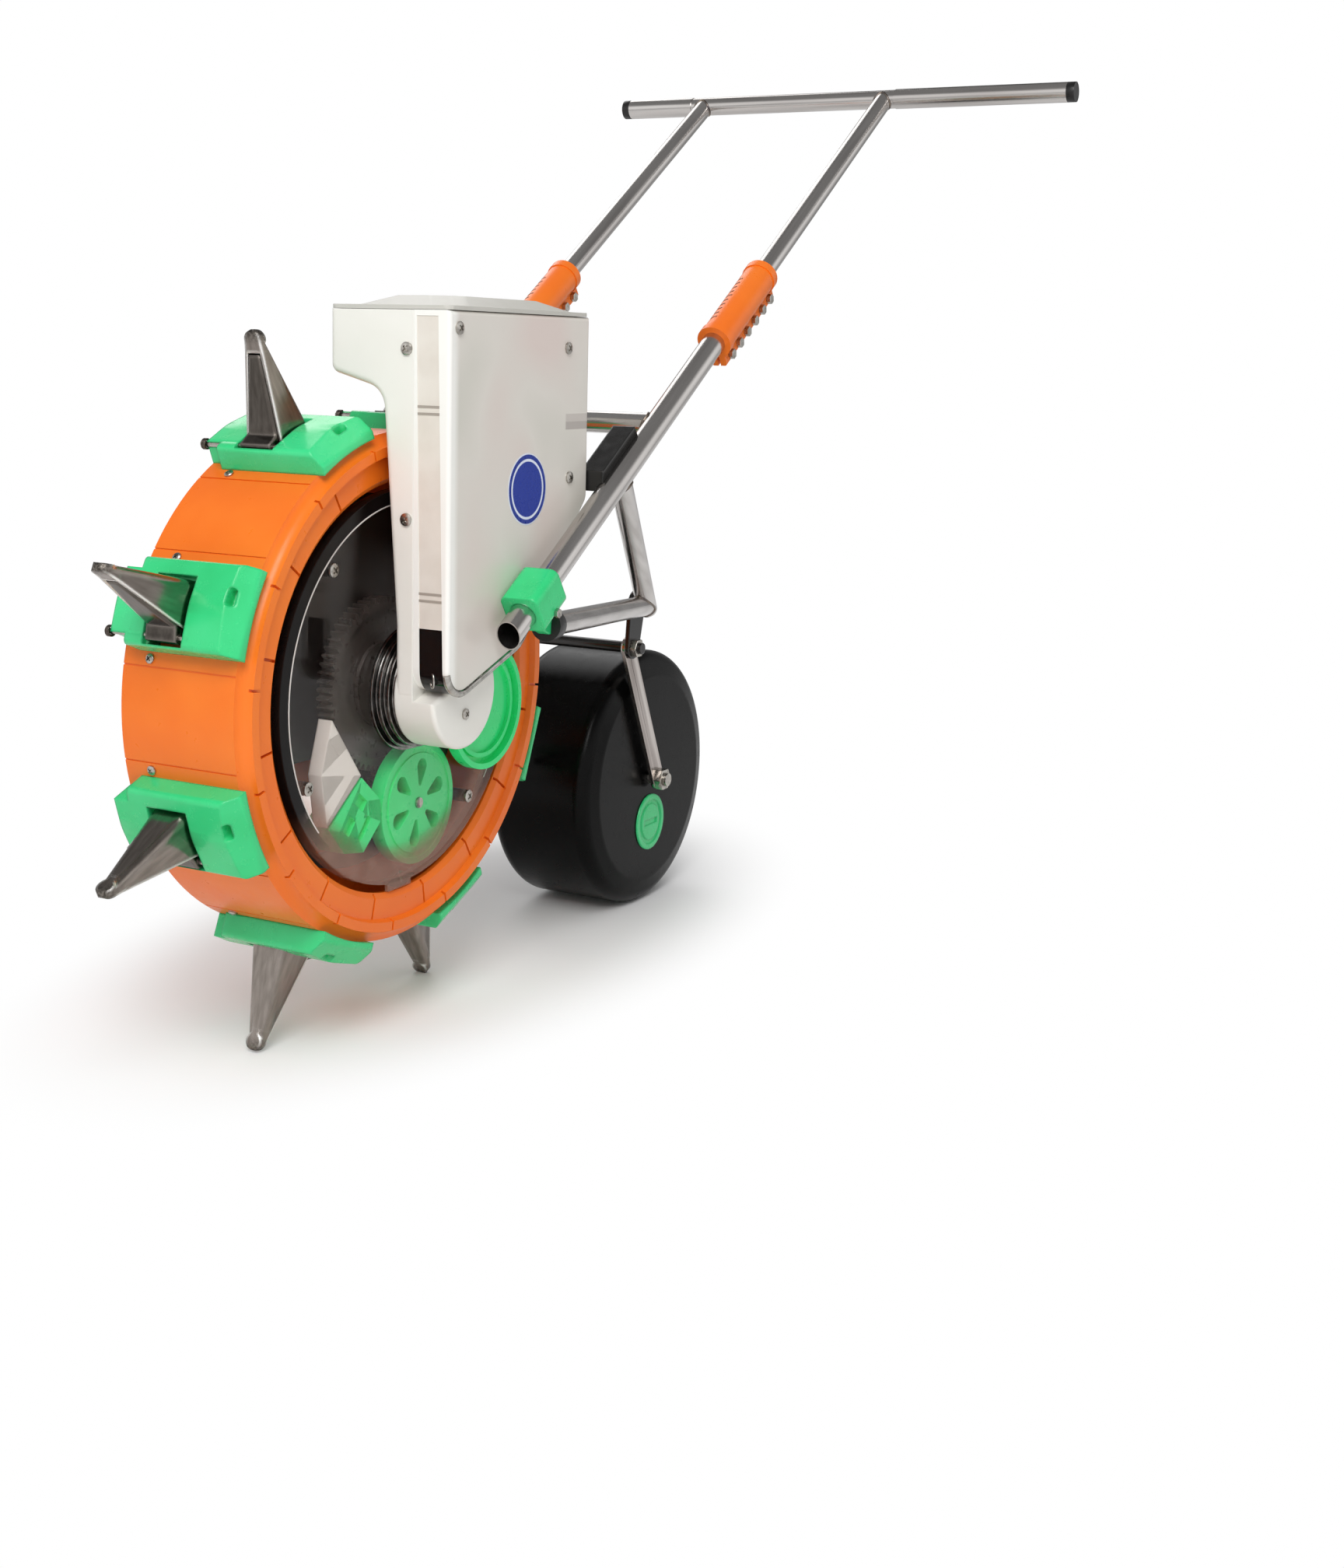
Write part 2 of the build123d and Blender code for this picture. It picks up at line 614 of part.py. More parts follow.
# Space for seed inside the hopper body.
with BuildPart() as hopper_space:
    with BuildSketch(Plane(origin=(HOPPER_FRONT + WALL, 0, 0), x_dir=(0, 1, 0), z_dir=(1, 0, 0))):
        with BuildLine():
            FilletPolyline((HOPPER_SPLIT - 5, 312), (STEM_FAR - WALL, 312), (STEM_TOP_FAR - WALL, 482),
                           (OVERHANG_FAR - WALL, 494), (OVERHANG_FAR - WALL, HOPPER_TOP + 5),
                           (HOPPER_SPLIT - 5, HOPPER_TOP + 5), radius=(0, 0, 21, 4, 0, 0), close=True)
        make_face()
    extrude(amount=HOPPER_REAR - HOPPER_FRONT - 2 * WALL)
    with BuildSketch(side(0)):
        with BuildLine():
            FilletPolyline((HOPPER_FRONT + WALL, 312), (70, 312), (HOPPER_REAR - WALL, 396),
                           (HOPPER_REAR - WALL, HOPPER_TOP + 5), (HOPPER_FRONT + WALL, HOPPER_TOP + 5),
                           radius=(0, 8, 10, 0, 0), close=True)
        make_face()
    extrude(amount=120, mode=Mode.INTERSECT)

# Hopper body: a hooked shell that reaches over the drum, with a boss for the axle.
with BuildPart() as hopper_body:
    with BuildSketch(Plane(origin=(HOPPER_FRONT, 0, 0), x_dir=(0, 1, 0), z_dir=(1, 0, 0))):
        with BuildLine():
            FilletPolyline((HOPPER_SPLIT, 262), (STEM_FAR, 262), (STEM_FAR, 311), (STEM_TOP_FAR, 479),
                           (OVERHANG_FAR, 491), (OVERHANG_FAR, HOPPER_TOP), (HOPPER_SPLIT, HOPPER_TOP),
                           radius=(0, 0, 40, 18, 7, 0, 0), close=True)
        make_face()
    extrude(amount=HOPPER_REAR - HOPPER_FRONT)
    with BuildSketch(side(0)):
        with BuildLine():
            FilletPolyline((HOPPER_FRONT, 262), (60, 262), (60, 296), (HOPPER_REAR, 394),
                           (HOPPER_REAR, HOPPER_TOP), (HOPPER_FRONT, HOPPER_TOP),
                           radius=(0, 0, 10, 12, 0, 0), close=True)
        make_face()
    extrude(amount=120, mode=Mode.INTERSECT)
    front_edges = hopper_body.edges().filter_by_position(Axis.X, HOPPER_FRONT - 0.1, HOPPER_FRONT + 0.1)
    free_edges = front_edges.filter_by_position(Axis.Y, STEM_FAR - 1, OVERHANG_FAR + 1)
    fillet(free_edges.filter_by_position(Axis.Z, 300, HOPPER_TOP - 1), radius=5)
    with BuildSketch(hub(STEM_FAR)):
        Circle(BOSS_R)
    extrude(amount=STEM_FAR - BOSS_NEAR)
    with BuildSketch(side(HOPPER_SPLIT)):
        with BuildLine():
            Polyline((-50, CHIN_Z - 3.04), (54, 289), (90, 328), (90, 345), (-50, 345), close=True)
        make_face()
    extrude(amount=40, mode=Mode.SUBTRACT)
    fillet(hopper_body.edges().group_by(Axis.Y)[0], radius=3)
    add(hopper_space.part, mode=Mode.SUBTRACT)
    with BuildSketch(hub(STEM_FAR)):
        Circle(AXLE_R)
    extrude(amount=30, mode=Mode.SUBTRACT)
    for y in (-16, -67):
        with BuildSketch(side(y)):
            with Locations((HOPPER_REAR + 5, HOPPER_TOP - 1.5)):
                Circle(4)
            with Locations((HOPPER_REAR + 2, HOPPER_TOP - 3.5)):
                Rectangle(8, 4)
            with Locations((HOPPER_REAR + 5, HOPPER_TOP - 1.5)):
                Circle(PIN_R, mode=Mode.SUBTRACT)
        extrude(amount=8)
keep(hopper_body.part, "hopper_body")

# Slanted recess for the strip in the front of the near panel.
with BuildPart() as strip_space:
    with BuildSketch(side(HOPPER_SPLIT)):
        add(front_skin(0, STRIP_DEPTH))
    extrude(amount=HOPPER_SPLIT - HOPPER_NEAR)
    with BuildSketch(strip_front()):
        add(strip_outline())
    extrude(amount=40, mode=Mode.INTERSECT)

# Near panel of the hopper: a deep tray, rounded below the front, with a recessed strip in its front face.
with BuildPart() as hopper_panel:
    with BuildSketch(side(HOPPER_SPLIT)):
        with BuildLine():
            FilletPolyline((HOPPER_FRONT, CHIN_Z), (54, 289), (HOPPER_REAR, 394), (HOPPER_REAR, HOPPER_TOP),
                           (HOPPER_FRONT, HOPPER_TOP), radius=(CHIN_R, 10, 12, 0, 0), close=True)
        make_face()
    extrude(amount=HOPPER_SPLIT - HOPPER_NEAR)
    fillet(hopper_panel.edges().group_by(Axis.Y)[0], radius=3)
    with BuildSketch(side(HOPPER_SPLIT)):
        with BuildLine():
            FilletPolyline((HOPPER_FRONT + WALL, CHIN_Z + 4.2), (52, 293), (HOPPER_REAR - WALL, 396),
                           (HOPPER_REAR - WALL, HOPPER_TOP + 2), (HOPPER_FRONT + WALL, HOPPER_TOP + 2),
                           radius=(CHIN_R - WALL, 8, 10, 0, 0), close=True)
        make_face()
    extrude(amount=HOPPER_SPLIT - HOPPER_NEAR - WALL, mode=Mode.SUBTRACT)
    add(strip_space.part, mode=Mode.SUBTRACT)
keep(hopper_panel.part, "hopper_panel")

# Translucent strip in the front of the panel, with two pairs of level marks.
with BuildPart() as sight_strip:
    with BuildSketch(side(HOPPER_SPLIT)):
        add(front_skin(0.4, STRIP_DEPTH))
        with Locations((HOPPER_FRONT + 15, WINDOW_TOP - 50)):
            Rectangle(60, 100, mode=Mode.SUBTRACT)
    extrude(amount=HOPPER_SPLIT - HOPPER_NEAR)
    with BuildSketch(strip_front().offset(0.1)):
        with Locations((-97, 463), (-97, 468), (-97, 331), (-97, 336)):
            Rectangle(40, 1.6)
    extrude(amount=0.6)
    with BuildSketch(strip_front()):
        add(strip_outline())
    extrude(amount=40, mode=Mode.INTERSECT)
keep(sight_strip.part, "sight_strip")

# Smoked window at the foot of the strip, bent round the lower front of the panel.
with BuildPart() as smoked_window:
    with BuildSketch(side(HOPPER_SPLIT)):
        add(front_skin(0.4, STRIP_DEPTH))
        with Locations((HOPPER_FRONT + 15, WINDOW_TOP + 200)):
            Rectangle(60, 400, mode=Mode.SUBTRACT)
    extrude(amount=HOPPER_SPLIT - HOPPER_NEAR)
    with BuildSketch(strip_front()):
        add(strip_outline())
    extrude(amount=40, mode=Mode.INTERSECT)
keep(smoked_window.part, "smoked_window")

# Domed lid with a hinge barrel at the rear edge.
with BuildPart() as hopper_lid:
    with BuildSketch(Plane.XY.offset(HOPPER_TOP + 0.3)):
        with Locations(((HOPPER_FRONT + HOPPER_REAR) / 2 - 0.5, (HOPPER_NEAR + OVERHANG_FAR) / 2)):
            RectangleRounded(193, 103, 6)
    extrude(amount=3)
    with BuildSketch(Plane.XY.offset(HOPPER_TOP + 3.3)):
        with Locations(((HOPPER_FRONT + HOPPER_REAR) / 2 + 4, (HOPPER_NEAR + OVERHANG_FAR) / 2)):
            RectangleRounded(176, 92, 20)
    with BuildSketch(Plane.XY.offset(HOPPER_TOP + 11)):
        with Locations(((HOPPER_FRONT + HOPPER_REAR) / 2 + 4, (HOPPER_NEAR + OVERHANG_FAR) / 2)):
            RectangleRounded(130, 56, 20)
    loft()
    with BuildSketch(side(-24.4)):
        with Locations((HOPPER_REAR + 5, HOPPER_TOP - 1.5)):
            Circle(4)
        with Locations((HOPPER_REAR + 1, HOPPER_TOP + 1.5)):
            Rectangle(8, 2.4)
        with Locations((HOPPER_REAR + 5, HOPPER_TOP - 1.5)):
            Circle(PIN_R + RUN_GAP, mode=Mode.SUBTRACT)
    extrude(amount=42.2)
keep(hopper_lid.part, "hopper_lid")

# Hinge pin of the lid.
with BuildPart() as lid_pin:
    with BuildSketch(side(-16)):
        with Locations((HOPPER_REAR + 5, HOPPER_TOP - 1.5)):
            Circle(PIN_R)
    extrude(amount=59)
keep(lid_pin.part, "lid_pin")

# Lower handle tubes, cut upright at the foot.
for name in SIDES:
    with BuildPart() as lower_tube:
        with BuildSketch(tube_plane(-16, TUBE_Y[name])):
            Circle(LOWER_R)
            Circle(LOWER_BORE, mode=Mode.SUBTRACT)
        extrude(amount=LOWER_LENGTH + 16)
        with BuildSketch(side(TUBE_Y[name] + 20)):
            with Locations((TUBE_FOOT[0] - 50, TUBE_FOOT[1])):
                Rectangle(90, 120, rotation=12)
        extrude(amount=40, mode=Mode.SUBTRACT)
    keep(lower_tube.part, "lower_tube_" + name)

# Upper handle tubes, coped to the handlebar.
for name in SIDES:
    with BuildPart() as upper_tube:
        with BuildSketch(tube_plane(UPPER_START, TUBE_Y[name])):
            Circle(UPPER_R)
            Circle(UPPER_BORE, mode=Mode.SUBTRACT)
        extrude(amount=TUBE_LENGTH - UPPER_START)
        with BuildSketch(bar_plane(TUBE_Y[name] + 20)):
            Circle(BAR_MIDDLE_R)
        extrude(amount=40, mode=Mode.SUBTRACT)
    keep(upper_tube.part, "upper_tube_" + name)

# Handlebar, drawn slightly thinner between the two grip ends.
with BuildPart() as handle_bar:
    with BuildSketch(bar_plane(BAR_FAR)):
        Circle(BAR_R)
        Circle(BAR_R - BAR_WALL, mode=Mode.SUBTRACT)
    extrude(amount=BAR_FAR - BAR_NEAR)
    with BuildSketch(bar_plane(GRIP_ENDS[1])):
        Circle(BAR_R + 1)
        Circle(BAR_MIDDLE_R, mode=Mode.SUBTRACT)
    extrude(amount=GRIP_ENDS[1] - GRIP_ENDS[0], mode=Mode.SUBTRACT)
keep(handle_bar.part, "handle_bar")

# End caps of the handlebar, flush with the bar.
with BuildPart() as bar_caps:
    for y in (BAR_FAR + CAP_LENGTH, BAR_NEAR):
        with BuildSketch(bar_plane(y)):
            Circle(BAR_R)
        extrude(amount=CAP_LENGTH)
    for y in (BAR_FAR, BAR_NEAR + 14):
        with BuildSketch(bar_plane(y)):
            Circle(BAR_R - BAR_WALL)
        extrude(amount=14)
keep(bar_caps.part, "bar_caps")

# Clamp sleeves over the telescopic joint, split along a bolted flange.
for name in SIDES:
    with BuildPart() as sleeve:
        with BuildSketch(tube_plane(SLEEVE_START, TUBE_Y[name])):
            Circle(SLEEVE_R)
            with Locations((SLEEVE_R, 0)):
                RectangleRounded(18, 14, 2)
        extrude(amount=SLEEVE_LENGTH)
        for start in (SLEEVE_START, SLEEVE_START + SLEEVE_LENGTH - 8):
            with BuildSketch(tube_plane(start, TUBE_Y[name])):
                Circle(SLEEVE_R + 1)
            extrude(amount=8)
        with BuildSketch(tube_plane(SLEEVE_START, TUBE_Y[name])):
            Circle(LOWER_R)
        extrude(amount=LOWER_LENGTH - SLEEVE_START, mode=Mode.SUBTRACT)
        with BuildSketch(tube_plane(LOWER_LENGTH, TUBE_Y[name])):
            Circle(UPPER_R + 0.4)
        extrude(amount=SLEEVE_START + SLEEVE_LENGTH - LOWER_LENGTH, mode=Mode.SUBTRACT)
        with BuildSketch(tube_plane(SLEEVE_START, TUBE_Y[name])):
            with Locations((18, 0)):
                Rectangle(20, 2.4)
        extrude(amount=SLEEVE_LENGTH, mode=Mode.SUBTRACT)
        for place in BOLT_PLACES:
            with BuildSketch(bolt_plane(place, SLEEVE_BOLT_DROP, TUBE_Y[name] - 12)):
                Circle(2.5)
            extrude(amount=24, mode=Mode.SUBTRACT)
    keep(sleeve.part, "sleeve_" + name)

# Bolts of the sleeves and of the tube clamps.
with BuildPart() as frame_bolts:
    for name in SIDES:
        for place in BOLT_PLACES:
            with BuildSketch(bolt_plane(place, SLEEVE_BOLT_DROP, TUBE_Y[name] - 7)):
                Circle(2.5)
            extrude(amount=14)
            for y in (TUBE_Y[name] - 11, TUBE_Y[name] + 7):
                with BuildSketch(bolt_plane(place, SLEEVE_BOLT_DROP, y)):
                    RegularPolygon(4.6, 6)
                extrude(amount=4)
        outer_face = {"near": CLAMP_Y["near"][0] - 3, "far": CLAMP_Y["far"][1]}[name]
        with BuildSketch(bolt_plane(CLAMP_START + CLAMP_LENGTH / 2, LOWER_R + 1.5, outer_face)):
            RegularPolygon(3.8, 6)
        extrude(amount=3)
keep(frame_bolts.part, "frame_bolts")

# Tube clamps: blocks bored for the handle tubes, each with a lug down to the front end of a stay.
for name in SIDES:
    low, high = CLAMP_Y[name]
    with BuildPart() as tube_clamp:
        with BuildSketch(tube_plane(CLAMP_START, 0)):
            with Locations((0, (low + high) / 2)):
                RectangleRounded(2 * CLAMP_HALF, high - low, 6)
        extrude(amount=CLAMP_LENGTH)
        with BuildSketch(side(STAY_FOOT[name][1] + 5)):
            with BuildLine():
                Polyline((44, 309), (70, 326), (88, 309), (88, 297), (70, 297), close=True)
            make_face()
        extrude(amount=10)
        with BuildSketch(tube_plane(0, TUBE_Y[name])):
            Circle(LOWER_R)
        extrude(amount=100, mode=Mode.SUBTRACT)
        with BuildSketch(line_plane(STAY_FOOT[name], corner(name)).offset(-2)):
            Circle(STAY_R + 3)
        extrude(amount=60, mode=Mode.SUBTRACT)
    keep(tube_clamp.part, "tube_clamp_" + name)

# Rear lugs that carry the pivot rod below the frame corners.
with BuildPart() as rear_lugs:
    for y in (-62, 66):
        with BuildSketch(side(y)):
            with Locations((CORNER[0], CORNER[2])):
                Circle(13)
            with Locations(PIVOT):
                Circle(10)
            make_hull()
            with Locations(PIVOT):
                Circle(ROD_R, mode=Mode.SUBTRACT)
        extrude(amount=4)
keep(rear_lugs.part, "rear_lugs")

# Braces from the handle tubes down to the rear corners.
with BuildPart() as braces:
    for name in SIDES:
        with BuildSketch(line_plane(BRACE_TOP[name], corner(name))):
            Circle(STAY_R)
            Circle(STAY_BORE, mode=Mode.SUBTRACT)
        extrude(amount=(corner(name) - Vector(*BRACE_TOP[name])).length + 6)
        with BuildSketch(tube_plane(0, TUBE_Y[name])):
            Circle(LOWER_R)
        extrude(amount=LOWER_LENGTH, mode=Mode.SUBTRACT)
        with BuildSketch(side(HAND[name] * 64 + 2)):
            with Locations((CORNER[0], CORNER[2])):
                Circle(30)
        extrude(amount=4, mode=Mode.SUBTRACT)
keep(braces.part, "braces")

# Stays from the tube clamps back to the braces.
with BuildPart() as stays:
    for name in SIDES:
        with BuildSketch(line_plane(STAY_FOOT[name], corner(name))):
            Circle(STAY_R)
            Circle(STAY_BORE, mode=Mode.SUBTRACT)
        extrude(amount=(corner(name) - Vector(*STAY_FOOT[name])).length)
        with BuildSketch(line_plane(BRACE_TOP[name], corner(name))):
            Circle(STAY_R)
        extrude(amount=(corner(name) - Vector(*BRACE_TOP[name])).length + 20, mode=Mode.SUBTRACT)
        with BuildSketch(side(HAND[name] * 64 + 2)):
            with Locations((CORNER[0], CORNER[2])):
                Circle(30)
        extrude(amount=4, mode=Mode.SUBTRACT)
keep(stays.part, "stays")

# Black caps on the front ends of the stays.
with BuildPart() as end_plugs:
    for name in SIDES:
        with BuildSketch(line_plane(STAY_FOOT[name], corner(name)).offset(-2)):
            Circle(STAY_R + 3)
        extrude(amount=14)
        with BuildSketch(line_plane(STAY_FOOT[name], corner(name))):
            Circle(STAY_R)
        extrude(amount=30, mode=Mode.SUBTRACT)
keep(end_plugs.part, "end_plugs")

# Cross tube between the handle tubes.
with BuildPart() as cross_tube:
    with BuildSketch(side(FAR_Y)):
        with Locations(CROSS_TUBE):
            Circle(CROSS_R)
            Circle(CROSS_R - 1.5, mode=Mode.SUBTRACT)
    extrude(amount=FAR_Y - NEAR_Y)
    for y in (NEAR_Y, FAR_Y):
        with BuildSketch(tube_plane(0, y)):
            Circle(LOWER_R)
        extrude(amount=LOWER_LENGTH, mode=Mode.SUBTRACT)
keep(cross_tube.part, "cross_tube")

# Bent bracket between the rear of the hopper and the near tube.
with BuildPart() as hopper_bracket:
    with BuildSketch(side(-106)):
        with BuildLine():
            Polyline((HOPPER_REAR, 400), (HOPPER_REAR, 416), (204, 450), (210, 442), (158, 407.5),
                     close=True)
        make_face()
    extrude(amount=20)
    with BuildSketch(tube_plane(0, NEAR_Y)):
        Circle(LOWER_R)
    extrude(amount=LOWER_LENGTH, mode=Mode.SUBTRACT)
keep(hopper_bracket.part, "hopper_bracket")

# Far bracket that ties the axle to the far tube clamp.
with BuildPart() as far_bracket:
    with BuildSketch(side(60)):
        with Locations((0, AXLE_Z)):
            Circle(20)
        with Locations((47, 327)):
            Circle(22)
        make_hull()
        with Locations((0, AXLE_Z)):
            Circle(AXLE_R, mode=Mode.SUBTRACT)
    extrude(amount=3)
keep(far_bracket.part, "far_bracket")

# Fork arms that carry the press roller.
for name, y in (("near", -ARM_INNER), ("far", ARM_INNER + ARM_T)):
    with BuildPart() as fork_arm:
        with BuildSketch(side(y)):
            with Locations(PIVOT, (PRESS_X, PRESS_R)):
                Circle(9.5)
            make_hull()
            with Locations(PIVOT):
                Circle(ROD_R, mode=Mode.SUBTRACT)
            with Locations((PRESS_X, PRESS_R)):
                Circle(PRESS_AXLE_R, mode=Mode.SUBTRACT)
        extrude(amount=ARM_T)
    keep(fork_arm.part, "fork_arm_" + name)

# Rod through the lugs and the tops of the fork arms.
with BuildPart() as cross_rod:
    with BuildSketch(side(75)):
        with Locations(PIVOT):
            Circle(ROD_R)
    extrude(amount=150)
keep(cross_rod.part, "cross_rod")

# Axle of the press roller.
with BuildPart() as press_axle:
    with BuildSketch(side(72)):
        with Locations((PRESS_X, PRESS_R)):
            Circle(PRESS_AXLE_R)
    extrude(amount=144)
keep(press_axle.part, "press_axle")

# Hexagon nuts on the rod, the press axle and the far end of the main axle.
with BuildPart() as hex_nuts:
    for y in (-66, 72):
        with BuildSketch(side(y)):
            with Locations(PIVOT):
                RegularPolygon(8.5, 6)
                Circle(ROD_R, mode=Mode.SUBTRACT)
        extrude(amount=6)
    for y in (-ARM_INNER - ARM_T, 69):
        with BuildSketch(side(y)):
            with Locations((PRESS_X, PRESS_R)):
                RegularPolygon(10.5, 6)
                Circle(PRESS_AXLE_R, mode=Mode.SUBTRACT)
        extrude(amount=7)
    with BuildSketch(hub(69)):
        RegularPolygon(15, 6)
        Circle(AXLE_R, mode=Mode.SUBTRACT)
    extrude(amount=9)
keep(hex_nuts.part, "hex_nuts")

# Press roller, filled with ballast and rounded at both ends.
with BuildPart() as press_roller:
    with BuildSketch(Plane(origin=(PRESS_X, 0, PRESS_R), x_dir=(1, 0, 0), z_dir=(0, 0, 1))):
        with BuildLine():
            FilletPolyline((PRESS_AXLE_R + RUN_GAP, -PRESS_HALF), (96, -PRESS_HALF),
                           (PRESS_R, 5 - PRESS_HALF), (PRESS_R, PRESS_HALF - 5), (96, PRESS_HALF),
                           (PRESS_AXLE_R + RUN_GAP, PRESS_HALF), radius=(0, 12, 13, 13, 12, 0), close=True)
        make_face()
    revolve(axis=Axis((PRESS_X, 0, PRESS_R), (0, 1, 0)))
    with BuildSketch(side(-46)):
        with Locations((PRESS_X, PRESS_R - 42)):
            Circle(26)
    extrude(amount=12, mode=Mode.SUBTRACT)
keep(press_roller.part, "press_roller")

# Filler plug in the near face of the press roller.
with BuildPart() as filler_plug:
    with BuildSketch(side(-46)):
        with Locations((PRESS_X, PRESS_R - 42)):
            Circle(26)
    extrude(amount=8.5)
    with BuildSketch(side(-53.3)):
        with Locations((PRESS_X, PRESS_R - 42)):
            Circle(21)
            Circle(17, mode=Mode.SUBTRACT)
            Rectangle(24, 5)
    extrude(amount=2, mode=Mode.SUBTRACT)
keep(filler_plug.part, "filler_plug")

# Pan-head screws of the hopper, its boss and the seed case cover.
with BuildPart() as pan_screws:
    with BuildSketch(side(HOPPER_NEAR)):
        with Locations((120, 511), (124, 412), (-30, 523)):
            Circle(4.6)
    extrude(amount=2.2)
    with BuildSketch(Plane(origin=(HOPPER_FRONT, 0, 0), x_dir=(0, 1, 0), z_dir=(-1, 0, 0))):
        with Locations((-76, -508), (-76, -388)):
            Circle(4.6)
    extrude(amount=2.2)
    with BuildSketch(side(BOSS_NEAR)):
        with Locations((0, 244)):
            Circle(4)
    extrude(amount=2.2)
    with BuildSketch(hub(-48)):
        with Locations(*POST_PLACES):
            Circle(5)
    extrude(amount=2.4)
keep(pan_screws.part, "pan_screws")
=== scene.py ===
import math

import bmesh
import bpy
from mathutils import Matrix, Vector


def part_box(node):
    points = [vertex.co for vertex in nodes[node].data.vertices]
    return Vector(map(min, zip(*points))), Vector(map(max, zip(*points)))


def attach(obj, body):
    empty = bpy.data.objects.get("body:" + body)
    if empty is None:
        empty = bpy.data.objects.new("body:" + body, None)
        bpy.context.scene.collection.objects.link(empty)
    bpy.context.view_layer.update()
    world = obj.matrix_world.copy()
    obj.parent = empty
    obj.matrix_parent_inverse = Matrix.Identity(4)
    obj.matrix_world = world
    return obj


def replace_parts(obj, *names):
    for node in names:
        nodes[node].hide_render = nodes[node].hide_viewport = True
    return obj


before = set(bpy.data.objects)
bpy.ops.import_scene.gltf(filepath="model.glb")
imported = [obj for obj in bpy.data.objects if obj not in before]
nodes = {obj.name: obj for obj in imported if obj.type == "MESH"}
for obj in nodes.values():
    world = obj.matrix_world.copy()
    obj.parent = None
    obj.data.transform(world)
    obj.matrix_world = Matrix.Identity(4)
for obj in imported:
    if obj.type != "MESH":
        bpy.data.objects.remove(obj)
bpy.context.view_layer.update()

# Drum rim and far disc: the hollow planting wheel that rolls on the soil.
# Moulded ABS in strong orange; the tread has faint flow marks and a satin gloss.
# The far disc is screwed into the rim and carries the hub.
MM = 0.001
JOINED = 0.005 * MM
axle_low, axle_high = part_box("axle")
AXLE_HEIGHT = (axle_low.z + axle_high.z) / 2
DRUM_RADIUS = 190 * MM


def linear(code):
    """Colour written as sRGB hex, as the linear values that the shader takes."""
    parts = [int(code[i : i + 2], 16) / 255 for i in (1, 3, 5)]
    return tuple(c / 12.92 if c <= 0.04045 else ((c + 0.055) / 1.055) ** 2.4 for c in parts) + (1.0,)


def per(millimetres):
    """Texture scale at which one pattern cell is about this wide."""
    return 1 / (millimetres * MM)


def add(tree, kind, inputs=None, stops=(), **settings):
    """Adds a node with its settings and links; stops are a ramp's positions with their sRGB hex."""
    made = tree.nodes.new("ShaderNode" + kind)
    for name, value in settings.items():
        setattr(made, name, value)
    for name, value in (inputs or {}).items():
        if isinstance(value, bpy.types.NodeSocket):
            tree.links.new(value, made.inputs[name])
        else:
            made.inputs[name].default_value = value
    for index, (position, code) in enumerate(stops):
        elements = made.color_ramp.elements
        stop = elements[index] if index < 2 else elements.new(position)
        stop.position = position
        stop.color = linear(code)
    return made


def new_material(name):
    """An empty material with its tree."""
    material = bpy.data.materials.new(name)
    material.use_nodes = True
    material.node_tree.nodes.clear()
    return material, material.node_tree


def moulded(name, base, light, dark, rough, grain, mottle=70.0, level=0.5, uneven=0.05, round_mm=0.0):
    """Injection-moulded plastic: slow colour drift, fine grain, and a soft gloss that varies."""
    material, tree = new_material(name)
    where = add(tree, "TexCoord").outputs["Object"]
    drift = add(tree, "TexNoise", {"Vector": where, "Scale": per(mottle), "Detail": 3.0, "Roughness": 0.55})
    colour = add(tree, "ValToRGB", {"Fac": drift.outputs["Fac"]}, ((0.32, dark), (0.68, light), (0.5, base)))
    smear = add(tree, "TexNoise", {"Vector": where, "Scale": per(9.0), "Detail": 4.0, "Roughness": 0.6})
    gloss = add(tree, "MapRange", {"Value": smear.outputs["Fac"], "From Min": 0.3, "From Max": 0.7,
                                   "To Min": rough - uneven, "To Max": rough + uneven})
    # The grain of the mould is far finer than a millimetre; it is drawn that coarse so that it shows.
    fine = add(tree, "TexNoise", {"Vector": where, "Scale": per(grain), "Detail": 2.0})
    bump = add(tree, "Bump", {"Height": fine.outputs["Fac"], "Strength": 0.05, "Distance": 0.3 * MM})
    if round_mm:
        edge = add(tree, "Bevel", {"Radius": round_mm * MM}, samples=8)
        tree.links.new(edge.outputs["Normal"], bump.inputs["Normal"])
    shader = add(tree, "BsdfPrincipled", {"Base Color": colour.outputs["Color"], "IOR": 1.53,
                                          "Roughness": gloss.outputs["Result"],
                                          "Normal": bump.outputs["Normal"], "Specular IOR Level": level})
    add(tree, "OutputMaterial", {"Surface": shader.outputs[0]})
    return material


def dress(material, *names):
    """Gives CAD pieces a material."""
    for name in names:
        mesh = nodes[name].data
        mesh.materials.clear()
        mesh.materials.append(material)


def soften(width, *names):
    """Rounds the sharp edges of CAD pieces by a small radius, in millimetres."""
    for name in names:
        weld = nodes[name].modifiers.new("joined faces", "WELD")
        weld.merge_threshold = JOINED
        bevel = nodes[name].modifiers.new("edge radius", "BEVEL")
        bevel.width = width * MM
        bevel.segments = 2
        bevel.limit_method = "ANGLE"
        bevel.angle_limit = math.radians(40)
        bevel.use_clamp_overlap = True


# Orange ABS: the eye sees a clean saturated skin, a shade lighter where the flow meets.
orange_abs = moulded("orange moulded ABS", "#F07319", "#F37B1F", "#EC6C14", 0.32, 0.9, 110.0, 0.35)
dress(orange_abs, "drum_rim", "drum_disc")

# Bill seats: thick green blocks that carry the bills on the tread.
# Moulded polypropylene with rounded edges, bolted through the tread.
# Each holds a hinge pin in its far end.

# Green polypropylene: bright and slightly waxy, so its highlights are broad.
green_pp = moulded("green moulded polypropylene", "#30CE7E", "#3AD588", "#26C473", 0.25, 0.8, round_mm=2.5)
dress(green_pp, "bill_seats")
soften(1.8, "bill_seats")

